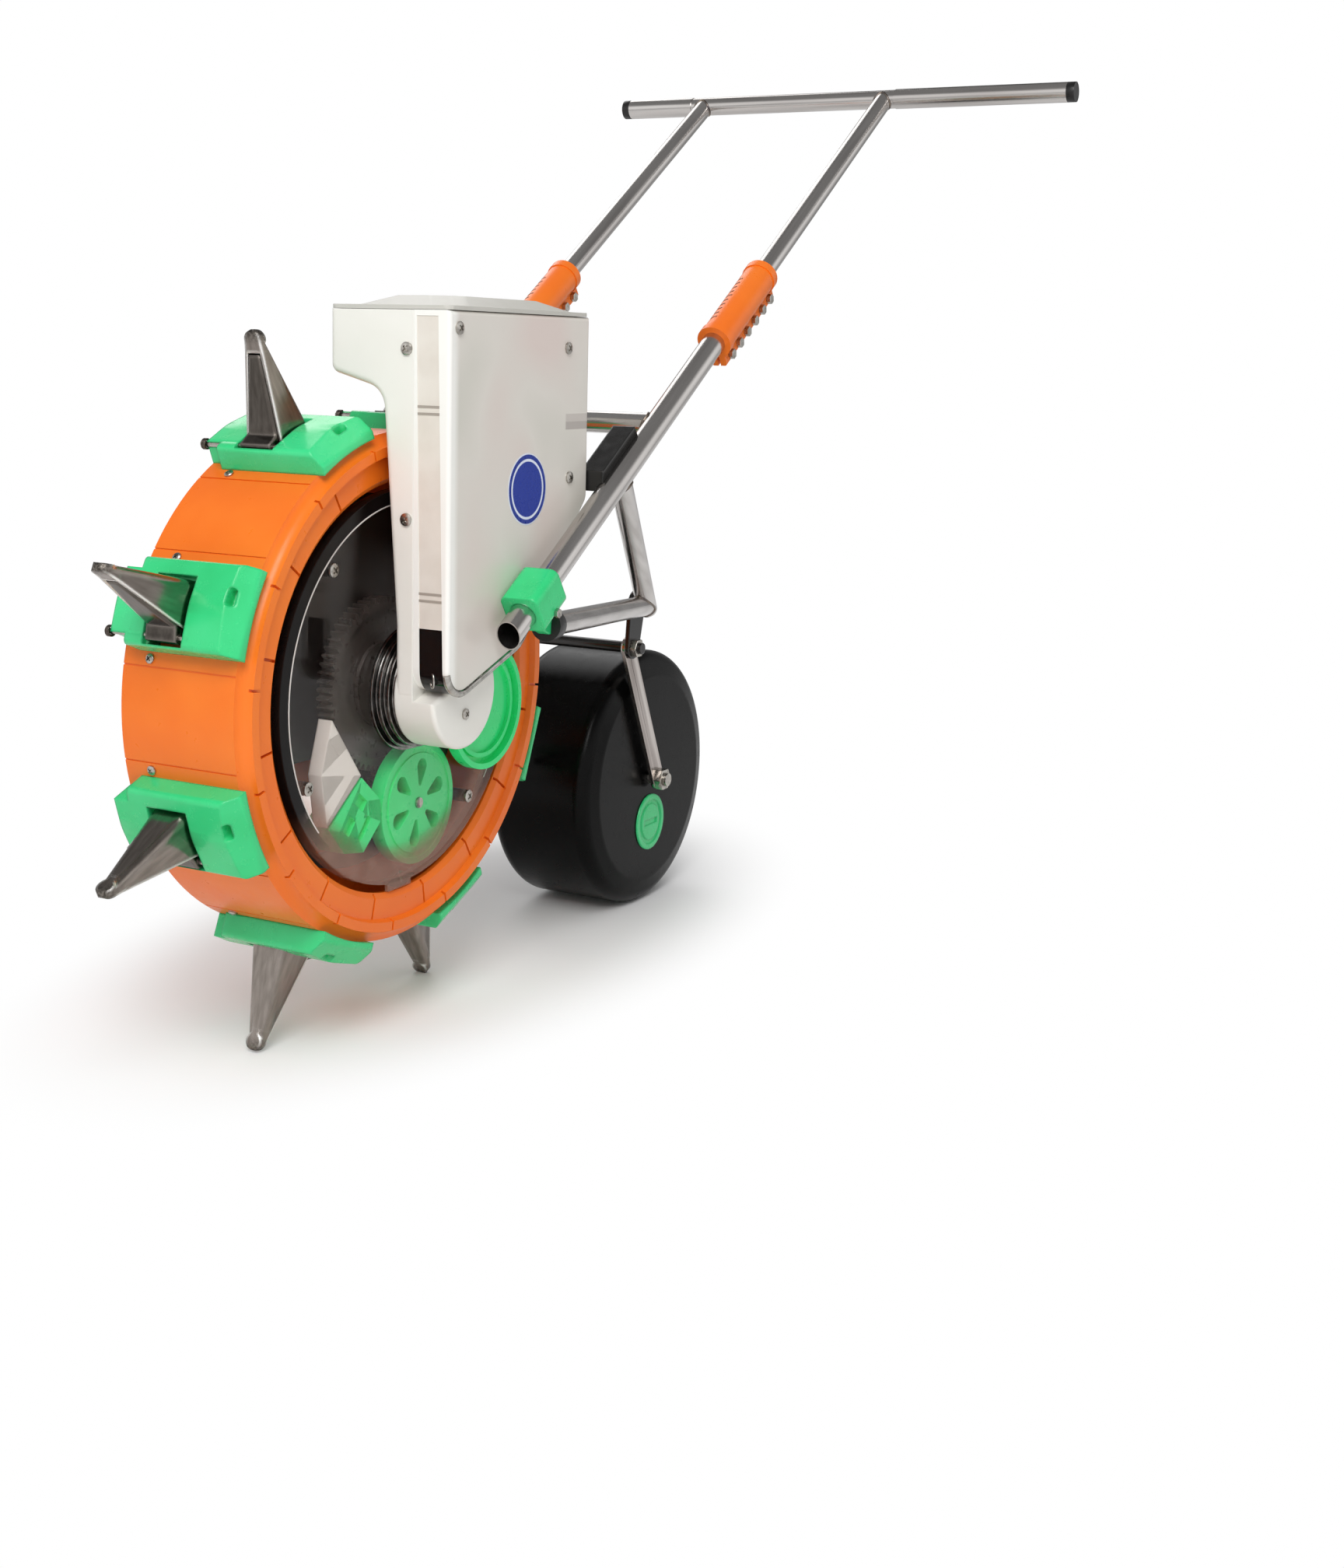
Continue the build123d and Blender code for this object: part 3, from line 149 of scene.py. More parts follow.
# Planting bills: pressed steel channels, each closed by a hinged tongue.
# Ground along their length, so soft streaks run from root to tip; the ridges are rubbed a little and carry a
# painted highlight.
# The soil darkens and pits the blunt tips.
BILLS = 8
BILL_TIP = 280 * MM
TIP_START = BILL_TIP - 10 * MM
TIP_FULL = BILL_TIP - 1 * MM


def wheel_place(tree):
    """Place on the wheel: metres round the drum, across it, and out from the axle."""
    where = add(tree, "TexCoord").outputs["Object"]
    split = add(tree, "SeparateXYZ", {"Vector": where})
    height = add(tree, "Math", {0: split.outputs["Z"], 1: AXLE_HEIGHT}, operation="SUBTRACT").outputs[0]
    turn = add(tree, "Math", {0: split.outputs["X"], 1: height}, operation="ARCTAN2").outputs[0]
    flat = add(tree, "CombineXYZ", {"X": split.outputs["X"], "Z": height})
    out = add(tree, "VectorMath", {0: flat.outputs[0]}, operation="LENGTH").outputs["Value"]
    round_way = add(tree, "Math", {0: turn, 1: DRUM_RADIUS}, operation="MULTIPLY").outputs[0]
    return round_way, split.outputs["Y"], out


def ground_bill_steel(name, dark, light, ridge_highlight_tone):
    """Ground steel: dark, soft streaks from root to tip, ridges a little worn and painted bright as a
    highlight, and a dark rough tip.
    """
    material, tree = new_material(name)
    round_way, across, out = wheel_place(tree)
    # The grinding lines are finer than a tenth of a millimetre; they are drawn 3 mm wide so that they show.
    stretched = add(tree, "Math", {0: out, 1: 0.05}, operation="MULTIPLY").outputs[0]
    streak_place = add(tree, "CombineXYZ", {"X": round_way, "Y": across, "Z": stretched}).outputs[0]
    streaks = add(tree, "TexNoise", {"Vector": streak_place, "Scale": per(3.0), "Detail": 3.0,
                                     "Roughness": 0.5})
    steel = add(tree, "ValToRGB", {"Fac": streaks.outputs["Fac"]}, ((0.25, dark), (0.75, light)))
    where = add(tree, "TexCoord").outputs["Object"]
    pits = add(tree, "TexNoise", {"Vector": where, "Scale": per(1.8), "Detail": 3.0})
    soil = add(tree, "ValToRGB", {"Fac": pits.outputs["Fac"]}, ((0.4, "#4A4540"), (0.62, "#7D7770")))
    tip = add(tree, "MapRange", {"Value": out, "From Min": TIP_START, "From Max": TIP_FULL,
                                 "To Min": 0.0, "To Max": 1.0}).outputs["Result"]
    rounded = add(tree, "Bevel", {"Radius": 4.0 * MM}, samples=8).outputs["Normal"]
    flat = add(tree, "NewGeometry").outputs["Normal"]
    level = add(tree, "VectorMath", {0: rounded, 1: flat}, operation="DOT_PRODUCT").outputs["Value"]
    # Painted highlight: where the rounded normal turns away from the flat one, the ridge is mixed toward a
    # bright tone; soil wears it a little.
    ridge = add(tree, "MapRange", {"Value": level, "From Min": 0.985, "From Max": 0.9}).outputs["Result"]
    worn_and_highlight = add(tree, "MixRGB", {"Fac": ridge, "Color1": steel.outputs["Color"],
                                "Color2": linear(ridge_highlight_tone)})
    colour = add(tree, "MixRGB", {"Fac": tip, "Color1": worn_and_highlight.outputs["Color"],
                                  "Color2": soil.outputs["Color"]})
    rubbed = add(tree, "MapRange", {"Value": ridge, "To Min": 0.15, "To Max": 0.45}).outputs["Result"]
    gloss = add(tree, "MapRange", {"Value": tip, "To Min": rubbed, "To Max": 0.42})
    bump = add(tree, "Bump", {"Height": pits.outputs["Fac"], "Strength": tip, "Distance": 0.5 * MM,
                              "Normal": rounded})
    shader = add(tree, "BsdfPrincipled", {"Base Color": colour.outputs["Color"], "Metallic": 1.0,
                                          "Roughness": gloss.outputs["Result"],
                                          "Normal": bump.outputs["Normal"]})
    add(tree, "OutputMaterial", {"Surface": shader.outputs[0]})
    return material


# Ground steel: warm grey mirrors with soft streaks. The channel's ridges carry a near-white painted
# highlight, a little worn; the tongue between them is the same steel painted darker as shade, with a dim
# painted highlight on its edges.
channel_steel = ground_bill_steel("ground bill steel, painted highlight", "#7B736C", "#9A918A", "#F6F4F1")
shaded_tongue_steel = ground_bill_steel("ground tongue steel, painted shade", "#4F4944", "#68625C", "#7C756F")
jaws = ["bill_jaw_%d" % (n + 1) for n in range(BILLS)]
dress(channel_steel, "bill_spouts")
dress(shaded_tongue_steel, *jaws)
soften(0.8, "bill_spouts")
soften(0.6, *jaws)

# Hinge pins, screws, nuts and shafts: turned steel with a bright zinc coat.
# The pins and shafts are pushed through their bores; the screws and nuts are tightened on their faces.


def plated(name, light, dark, rough):
    """Coated steel: cloudy colour and a gloss broken by small spots."""
    material, tree = new_material(name)
    where = add(tree, "TexCoord").outputs["Object"]
    cloud = add(tree, "TexNoise", {"Vector": where, "Scale": per(6.0), "Detail": 4.0, "Roughness": 0.6})
    colour = add(tree, "ValToRGB", {"Fac": cloud.outputs["Fac"]}, ((0.3, dark), (0.7, light)))
    gloss = add(tree, "MapRange", {"Value": cloud.outputs["Fac"], "To Min": rough - 0.08,
                                   "To Max": rough + 0.12})
    # The crystals of the coat are too fine to see; they are drawn 0.8 mm wide so that they show.
    fine = add(tree, "TexNoise", {"Vector": where, "Scale": per(0.8), "Detail": 2.0})
    bump = add(tree, "Bump", {"Height": fine.outputs["Fac"], "Strength": 0.08, "Distance": 0.1 * MM})
    shader = add(tree, "BsdfPrincipled", {"Base Color": colour.outputs["Color"], "Metallic": 1.0,
                                          "Roughness": gloss.outputs["Result"],
                                          "Normal": bump.outputs["Normal"]})
    add(tree, "OutputMaterial", {"Surface": shader.outputs[0]})
    return material


# Zinc: pale and a little milky, with small darker clouds.
zinc = plated("zinc-plated steel", "#CFCBC4", "#938E87", 0.26)
dress(zinc, "axle", "hex_nuts", "frame_bolts", "press_axle", "roller_shaft", "lid_pin", "disc_screws",
      "pan_screws", "jaw_pins")
soften(0.4, "hex_nuts", "frame_bolts")

# Return springs: torsion coils of dark spring wire on the far ends of the hinge pins.
# A leg runs from each coil along the rim and pushes its tongue shut.
WIRE = 0.65 * MM
COIL = 3.5 * MM
TURNS = 4
TURN_STEPS = 16
COIL_START = 53.9 * MM
COIL_END = 56.9 * MM
SPRING_LEG = 14 * MM
HOOK_IN = 2.5 * MM
HOOK_ON = 1.5 * MM


def solid_boxes(name):
    """Low and high corner of each separate solid in a CAD piece."""
    mesh = bmesh.new()
    mesh.from_mesh(nodes[name].data)
    bmesh.ops.remove_doubles(mesh, verts=mesh.verts, dist=JOINED)
    waiting = set(mesh.verts)
    boxes = []
    while waiting:
        front = [waiting.pop()]
        group = []
        while front:
            vert = front.pop()
            group.append(vert.co.copy())
            for edge in vert.link_edges:
                other = edge.other_vert(vert)
                if other in waiting:
                    waiting.remove(other)
                    front.append(other)
        low = Vector([min(point[axis] for point in group) for axis in range(3)])
        high = Vector([max(point[axis] for point in group) for axis in range(3)])
        boxes.append((low, high))
    mesh.free()
    return sorted(boxes, key=lambda box: tuple(box[0]))


def wires(name, paths, radius, material, body, closed=False):
    """Round wire along each path of points, as one piece that rides with a body."""
    curve = bpy.data.curves.new(name, "CURVE")
    curve.dimensions = "3D"
    curve.bevel_depth = radius
    curve.bevel_resolution = 3
    curve.use_fill_caps = True
    for path in paths:
        line = curve.splines.new("POLY")
        line.points.add(len(path) - 1)
        line.use_cyclic_u = closed
        for point, place in zip(line.points, path):
            point.co = (*place, 1)
    curve.materials.append(material)
    made = bpy.data.objects.new(name, curve)
    bpy.context.scene.collection.objects.link(made)
    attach(made, body)
    return made


def spring_path(low, high):
    """Coil round a hinge pin, with the straight leg at its end and the hook on that."""
    centre = (low + high) / 2
    out = Vector((centre.x, 0, centre.z - AXLE_HEIGHT)).normalized()
    lead = Vector((-out.z, 0, out.x))
    path = []
    steps = TURN_STEPS * TURNS + TURN_STEPS // 2
    for step in range(steps + 1):
        turn = 2 * math.pi * step / TURN_STEPS
        across = COIL_START + (COIL_END - COIL_START) * step / steps
        spoke = COIL * (math.cos(turn) * out + math.sin(turn) * lead)
        path.append(Vector((centre.x, across, centre.z)) + spoke)
    path.append(path[-1] - SPRING_LEG * lead)
    path.append(path[-1] - HOOK_IN * out - HOOK_ON * lead)
    return path


# Spring wire: dark oiled steel with a warm sheen.
spring_wire = plated("oiled spring wire", "#6B625B", "#3A3430", 0.3)
coils = [spring_path(*pin) for pin in solid_boxes("jaw_pins")]
springs = wires("return_springs", coils, WIRE, spring_wire, "drum")
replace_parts(springs, "jaw_springs")

# Seat screws: a small pan head on the tread at each end of a seat, driven by a cross point.
# Zinc-plated like the other screws; they clamp the seat's skirt to the drum.
SEAT_SCREW_Y = 30 * MM
SEAT_SCREW_ARC = 36 * MM
SEAT_SCREW_RADIUS = 3.4 * MM
SEAT_SCREW_HEIGHT = 2.6 * MM
SEAT_SCREW_SINK = 0.4 * MM
RECESS_HALF = 0.12
RECESS_REACH = 0.55
RECESS_DEPTH = 0.5
RIM_LEVEL = 0.35
DOME_FALL = 0.85


def cross_head(mesh, centre, outward, radius, height):
    """Domed screw head with a cross recess, built as a square net pressed round."""
    side = [RECESS_HALF, 0.17, 0.35, RECESS_REACH, 0.6, 0.82, 1]
    steps = [-share for share in reversed(side)] + [0] + side
    across = outward.orthogonal().normalized()
    along = outward.cross(across)
    rows = []
    for v in steps:
        row = []
        for u in steps:
            x = u * math.sqrt(1 - v * v / 2)
            y = v * math.sqrt(1 - u * u / 2)
            level = RIM_LEVEL + (1 - RIM_LEVEL) * math.sqrt(max(0.0, 1 - DOME_FALL * (x * x + y * y)))
            narrow, wide = sorted((abs(u), abs(v)))
            if narrow <= RECESS_HALF and wide <= RECESS_REACH:
                level -= RECESS_DEPTH
            spread = radius * (x * across + y * along)
            row.append(mesh.verts.new(centre + spread + height * level * outward))
        rows.append(row)
    for low, high in zip(rows, rows[1:]):
        for index in range(len(steps) - 1):
            mesh.faces.new((low[index], low[index + 1], high[index + 1], high[index]))
    edge = rows[0] + [row[-1] for row in rows[1:]]
    edge += rows[-1][-2::-1] + [row[0] for row in rows[-2:0:-1]]
    foot = [mesh.verts.new(vert.co - outward * (vert.co - centre).dot(outward)) for vert in edge]
    for index in range(len(edge)):
        mesh.faces.new((edge[index], edge[index - 1], foot[index - 1], foot[index]))


def made_piece(name, mesh, material, body):
    """Turns a finished bmesh into a piece that rides with a body."""
    bmesh.ops.recalc_face_normals(mesh, faces=mesh.faces)
    data = bpy.data.meshes.new(name)
    mesh.to_mesh(data)
    mesh.free()
    data.materials.append(material)
    piece = bpy.data.objects.new(name, data)
    bpy.context.scene.collection.objects.link(piece)
    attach(piece, body)
    return piece


heads = bmesh.new()
for bill in range(BILLS):
    for hand in (-1, 1):
        turn = math.radians(360 / BILLS * (bill + 0.5)) + hand * SEAT_SCREW_ARC / DRUM_RADIUS
        out = Vector((math.sin(turn), 0, math.cos(turn)))
        place = Vector((0, SEAT_SCREW_Y, AXLE_HEIGHT)) + (DRUM_RADIUS - SEAT_SCREW_SINK) * out
        cross_head(heads, place, out, SEAT_SCREW_RADIUS, SEAT_SCREW_HEIGHT)
made_piece("seat_screw_heads", heads, zinc, "drum")

# Case and hopper screws: larger pan heads on the cover posts, the hopper panel, its front and its boss.
# Zinc-plated steel with a pressed cross, screwed into moulded posts.
heads = bmesh.new()
for low, high in solid_boxes("pan_screws"):
    size = high - low
    axis = min(range(3), key=lambda a: size[a])
    outward = Vector([-1 if a == axis else 0 for a in range(3)])
    foot = (low + high) / 2
    foot[axis] = high[axis]
    cross_head(heads, foot, outward, max(size) / 2, size[axis])
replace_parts(made_piece("cross_screw_heads", heads, zinc, "frame"), "pan_screws")

# Seed cover: the clear near wall of the seed case, screwed over the dark plate behind.
# Moulded polycarbonate; a black band round its upper edge is painted shade of the shadowed gap behind the
# rim, and brown dust of the seed clings lower down.
COVER_WINDOW = 138 * MM
GAP_SHADE_EDGE = 0.6 * MM
GAP_SHADE_END = AXLE_HEIGHT - 105 * MM
GAP_SHADE_FULL = AXLE_HEIGHT - 70 * MM
DUST_TOP = AXLE_HEIGHT - 35 * MM
DUST_LOW = AXLE_HEIGHT - 85 * MM
DUST_INNER = 118 * MM
DUST_OUTER = 133 * MM
SHEEN = 0.025


def clear_polycarbonate():
    """Clear sheet that lets light straight through, with a black band of painted shade round its upper edge
    and brown dust below.
    """
    material, tree = new_material("clear polycarbonate with painted shade")
    where = add(tree, "TexCoord").outputs["Object"]
    out = wheel_place(tree)[2]
    height = add(tree, "SeparateXYZ", {"Vector": where}).outputs["Z"]
    scuffs = add(tree, "TexNoise", {"Vector": where, "Scale": per(22.0), "Detail": 6.0, "Roughness": 0.7})
    low = add(tree, "MapRange", {"Value": height, "From Min": DUST_TOP, "From Max": DUST_LOW})
    outer = add(tree, "MapRange", {"Value": out, "From Min": DUST_INNER, "From Max": DUST_OUTER})
    settled = add(tree, "Math", {0: low.outputs["Result"], 1: outer.outputs["Result"]}, operation="MULTIPLY")
    patchy = add(tree, "MapRange", {"Value": scuffs.outputs["Fac"], "From Min": 0.3, "From Max": 0.6,
                                    "To Min": 0.55})
    dust = add(tree, "Math", {0: settled.outputs[0], 1: patchy.outputs["Result"]},
               operation="MULTIPLY").outputs[0]
    film = add(tree, "ValToRGB", {"Fac": dust}, ((0.0, "#FBF9F8"), (1.0, "#F6ECE6")))
    gloss = add(tree, "MapRange", {"Value": scuffs.outputs["Fac"], "From Min": 0.45, "From Max": 0.75,
                                   "To Min": 0.03, "To Max": 0.12})
    through = add(tree, "BsdfTransparent", {"Color": film.outputs["Color"]})
    dirt = add(tree, "BsdfPrincipled", {"Base Color": linear("#AB7D68"), "IOR": 1.58,
                                        "Roughness": gloss.outputs["Result"]})
    cling = add(tree, "MapRange", {"Value": dust, "To Min": 0.005, "To Max": 0.4}).outputs["Result"]
    dusty = add(tree, "MixShader", {0: cling, 1: through.outputs[0], 2: dirt.outputs[0]})
    sheen = add(tree, "BsdfGlossy", {"Color": linear("#FFFFFF"), "Roughness": gloss.outputs["Result"]})
    clear = add(tree, "MixShader", {0: SHEEN, 1: dusty.outputs[0], 2: sheen.outputs[0]})
    # Painted shade: the shadowed gap inside the rim, drawn as a black band round the window that fades out
    # low down.
    gap_shade_tone = add(tree, "ValToRGB", {"Fac": scuffs.outputs["Fac"]}, ((0.3, "#0B0909"), (0.7, "#161312")))
    gap_shade = add(tree, "BsdfPrincipled", {"Base Color": gap_shade_tone.outputs["Color"], "Roughness": 0.16,
                                          "IOR": 1.58, "Specular IOR Level": 0.12})
    ring = add(tree, "MapRange", {"Value": out, "From Min": COVER_WINDOW,
                                  "From Max": COVER_WINDOW + GAP_SHADE_EDGE})
    upper = add(tree, "MapRange", {"Value": height, "From Min": GAP_SHADE_END, "From Max": GAP_SHADE_FULL})
    painted = add(tree, "Math", {0: ring.outputs["Result"], 1: upper.outputs["Result"]}, operation="MULTIPLY")
    cover = add(tree, "MixShader", {0: painted.outputs[0], 1: clear.outputs[0], 2: gap_shade.outputs[0]})
    add(tree, "OutputMaterial", {"Surface": cover.outputs[0]})
    return material


# Clear polycarbonate: almost unseen but for a thin gloss, with a black rim of painted shade and a brown haze
# at the bottom.
dress(clear_polycarbonate(), "seed_cover")
soften(0.7, "seed_cover")

# Window bead: the raised line round the clear window of the cover.
# Moulded in one with the polycarbonate; its milky pale colour is a painted highlight along the window's edge.
BEAD_Y = -48.1 * MM
BEAD_RADIUS = 0.55 * MM
BEAD_START = -40
BEAD_SWEEP = 260
BEAD_STEPS = 96

# Bead: a thin pale line, a painted highlight that stays bright all the way round.
bead_highlight = moulded("clear bead with painted highlight", "#C9C4BE", "#DAD6D1", "#ABA59F", 0.2, 0.8)
bead = []
for step in range(BEAD_STEPS + 1):
    turn = math.radians(BEAD_START + BEAD_SWEEP * step / BEAD_STEPS)
    bead.append(Vector((COVER_WINDOW * math.cos(turn), BEAD_Y, AXLE_HEIGHT + COVER_WINDOW * math.sin(turn))))
wires("cover_bead", [bead], BEAD_RADIUS, bead_highlight, "frame")

# Seed roller, brush block and feed inlet: the green pieces that pick the seed and lead it in.
# Moulded polypropylene; the roller turns on its shaft, and the others are fixed in the case.

# Seed green: the seats' plastic painted lighter and purer, a painted lift of light, so that it stays bright
# inside the shaded case.
brightened_seed_green = moulded("green polypropylene painted brighter", "#30EE88", "#38F290", "#28E880", 0.3, 0.8)
dress(brightened_seed_green, "feed_inlet", "brush_block", "seed_roller")
soften(0.8, "feed_inlet", "brush_block", "seed_roller")

# Case plate, gears and hub: the dark works behind the cover, with a stepped collar in front of them.
# Black ABS plate, nylon gears and sleeve, and a collar of turned steel.
# The collar spaces the hopper boss off the cover and stays still while the drum turns.

# Black ABS: deep and satin, so only its edges and ribs are seen.
black_abs = moulded("black moulded ABS", "#131212", "#1A1918", "#0E0D0D", 0.38, 0.7, level=0.4)
dress(black_abs, "seed_back")
# Gear nylon: a dark grey that lifts the teeth off the plate.
gear_nylon = moulded("dark gear nylon", "#4A4643", "#585350", "#3E3A37", 0.3, 0.9)
dress(gear_nylon, "drive_gear", "roller_gear", "hub_sleeve")
# Dark turned steel: oiled and dark in cloudy tone, with a sharp bright line on each rounded step.
collar_steel = plated("dark turned steel", "#9C9A98", "#55524F", 0.18)
dress(collar_steel, "hub_collar")
soften(0.5, "hub_collar")

# Hopper body and seed guard: a hooked white shell with the axle boss, and the guard inside the case.
# Thick moulded polypropylene; the shell is screwed to the near panel and hangs on the axle.

# White polypropylene: clean and faintly warm, with an even soft gloss and rounded bright edges.
white_pp = moulded("white moulded polypropylene", "#EAE8E1", "#EDEBE5", "#E6E3DB", 0.26, 1.1, 120.0,
                   uneven=0.008, round_mm=2.0)
dress(white_pp, "hopper_body", "seed_guard")

# Hopper lid: the cover of the seed space, with a raised middle, hinged on a steel pin at the back.
# The body's plastic, moulded thin.

# Thin lid: the body's plastic painted greyer, a painted shade of the dark inside behind the thin wall.
shaded_lid_pp = moulded("thin white lid, painted shade", "#C4C2BB", "#CAC8C2", "#BDBBB3", 0.4, 1.1, 120.0, 0.15, uneven=0.02)
dress(shaded_lid_pp, "hopper_lid")
soften(1.2, "hopper_lid")

# Near panel: the deep side wall of the hopper, screwed over its open side.
# Polypropylene moulded thin; its grey is a painted shade of the dark seed space behind it, and two grey bands
# at the rear are painted shade of the cross tube behind.
EDGE_HIGHLIGHT_FROM = -36 * MM
EDGE_HIGHLIGHT_TO = -28 * MM
TUBE_FROM = 117 * MM
TUBE_FULL = 119 * MM
TUBE_SHADE_BANDS = ((452 * MM, "#A19893"), (458 * MM, "#BDB5AF"))
TUBE_BAND_HALF = 3 * MM
TUBE_SHADE_SHARE = 0.75


def thin_panel():
    """Thin white panel: slow beige fields greyed as painted shade, a painted highlight on the front edge, and
    two grey bands of painted tube shade at the rear.
    """
    material, tree = new_material("thin white panel, painted shade and highlight")
    where = add(tree, "TexCoord").outputs["Object"]
    place = add(tree, "SeparateXYZ", {"Vector": where})
    slow = add(tree, "TexNoise", {"Vector": where, "Scale": per(95.0), "Detail": 1.0})
    shaded_skin = add(tree, "ValToRGB", {"Fac": slow.outputs["Fac"]},
               ((0.3, "#CDCBC1"), (0.7, "#D9CBC4"), (0.5, "#DAD5CD")))
    # Painted highlight: the rounded front edge is mixed toward a bright white.
    edge = add(tree, "MapRange", {"Value": place.outputs["X"], "From Min": EDGE_HIGHLIGHT_FROM, "From Max": EDGE_HIGHLIGHT_TO,
                                  "To Min": 1.0, "To Max": 0.0}, interpolation_type="SMOOTHSTEP")
    colour = add(tree, "MixRGB", {"Fac": edge.outputs["Result"], "Color1": shaded_skin.outputs["Color"],
                                  "Color2": linear("#F2F1EC")})
    # Painted shade: the cross tube behind the panel, drawn as a darker and a lighter grey band at the rear.
    rear = add(tree, "MapRange", {"Value": place.outputs["X"], "From Min": TUBE_FROM, "From Max": TUBE_FULL,
                                  "To Max": TUBE_SHADE_SHARE}).outputs["Result"]
    for height, tone in TUBE_SHADE_BANDS:
        band = add(tree, "Math", {0: place.outputs["Z"], 1: height, 2: TUBE_BAND_HALF}, operation="COMPARE")
        tube_shade = add(tree, "Math", {0: band.outputs[0], 1: rear}, operation="MULTIPLY")
        colour = add(tree, "MixRGB", {"Fac": tube_shade.outputs[0], "Color1": colour.outputs["Color"],
                                      "Color2": linear(tone)})
    smear = add(tree, "TexNoise", {"Vector": where, "Scale": per(14.0), "Detail": 4.0})
    gloss = add(tree, "MapRange", {"Value": smear.outputs["Fac"], "To Min": 0.16, "To Max": 0.3})
    shader = add(tree, "BsdfPrincipled", {"Base Color": colour.outputs["Color"], "IOR": 1.5,
                                          "Roughness": gloss.outputs["Result"]})
    add(tree, "OutputMaterial", {"Surface": shader.outputs[0]})
    return material


# Thin panel: a pale beige grey of painted shade that shifts slowly over the wall, glossier than the body.
dress(thin_panel(), "hopper_panel")

# Sight strip: the pale strip beside the panel through which the seed level is read.
# Frosted polypropylene with two pairs of raised level marks, clipped into the body.
LEVEL_MARKS = (331 * MM, 336 * MM, 463 * MM, 468 * MM)
LEVEL_MARK_HALF = 0.9 * MM


def frosted_strip():
    """Pale beige dull strip; two pairs of raised level marks are rubbed grey."""
    material, tree = new_material("frosted polypropylene strip")
    where = add(tree, "TexCoord").outputs["Object"]
    height = add(tree, "SeparateXYZ", {"Vector": where}).outputs["Z"]
    cloud = add(tree, "TexNoise", {"Vector": where, "Scale": per(30.0), "Detail": 3.0})
    colour = add(tree, "ValToRGB", {"Fac": cloud.outputs["Fac"]}, ((0.3, "#D8D0C6"), (0.7, "#E3DDD4")))
    for mark in LEVEL_MARKS:
        on_mark = add(tree, "Math", {0: height, 1: mark, 2: LEVEL_MARK_HALF}, operation="COMPARE")
        colour = add(tree, "MixRGB", {"Fac": on_mark.outputs[0], "Color1": colour.outputs["Color"],
                                      "Color2": linear("#A39A90")})
    shader = add(tree, "BsdfPrincipled", {"Base Color": colour.outputs["Color"], "Roughness": 0.36,
                                          "IOR": 1.5})
    add(tree, "OutputMaterial", {"Surface": shader.outputs[0]})
    return material


# Frosted strip: chalky beige with no clear highlight, and thin grey lines at the marks.
dress(frosted_strip(), "sight_strip")

# Smoked window: the small dark pane at the foot of the strip, over the seed outlet.
# Smoked acrylic sheet, bent round the lower front of the panel and pushed in.

# Smoked acrylic: black with a mirror gloss.
smoked_acrylic = moulded("smoked acrylic", "#0F0E0E", "#161413", "#0A0909", 0.12, 0.8)
dress(smoked_acrylic, "smoked_window")

# Panel trim: a bright wire bead along the lower edge of the panel and a small pull ring at the window.
# Chromed steel wire, snapped over the moulded edge.
TRIM_RADIUS = 3.0 * MM
TRIM_Y = -110.6
CHIN = Vector((-23, TRIM_Y, 282)) * MM
CHIN_RADIUS = 18 * MM
CHIN_START = 190
CHIN_STEP = 9
TRIM_RISE = ((48, 287), (54, 289.6), (59, 294), (100, 337))
PULL_CENTRE = Vector((-39.5, -98, 274)) * MM
PULL_RADIUS = 5 * MM
PULL_LEAN = (0.35, 0.5)
PULL_STEPS = 24
PULL_WIRE = 0.9 * MM

# Chrome: a bright hard line with dark and light side by side.
chrome = plated("bright chromed wire", "#C4C1BC", "#8A8680", 0.14)
trim = []
for step in range(12):
    turn = math.radians(CHIN_START + CHIN_STEP * step)
    trim.append(CHIN + CHIN_RADIUS * Vector((math.cos(turn), 0, math.sin(turn))))
trim += [Vector((x, TRIM_Y, z)) * MM for x, z in TRIM_RISE]
wires("panel_trim", [trim], TRIM_RADIUS, chrome, "frame")
pull = []
for step in range(PULL_STEPS):
    turn = 2 * math.pi * step / PULL_STEPS
    lean = [share * math.cos(turn) for share in PULL_LEAN]
    pull.append(PULL_CENTRE + PULL_RADIUS * Vector((*lean, math.sin(turn))))
wires("window_pull", [pull], PULL_WIRE, chrome, "frame", closed=True)

# Label place: a plain round sticker on the near panel, blue with a white ring and nothing written on it.
# Printed vinyl with a clear gloss film, stuck on.
LABEL_CENTRE = Vector((63, -112.0, 406)) * MM
LABEL_RADIUS = 27 * MM
LABEL_STEPS = 48
LABEL_RINGS = ((0.0, 0.25), (0.5, 0.25), (0.97, 0.25), (1.0, 0.12), (1.0, 0.0))


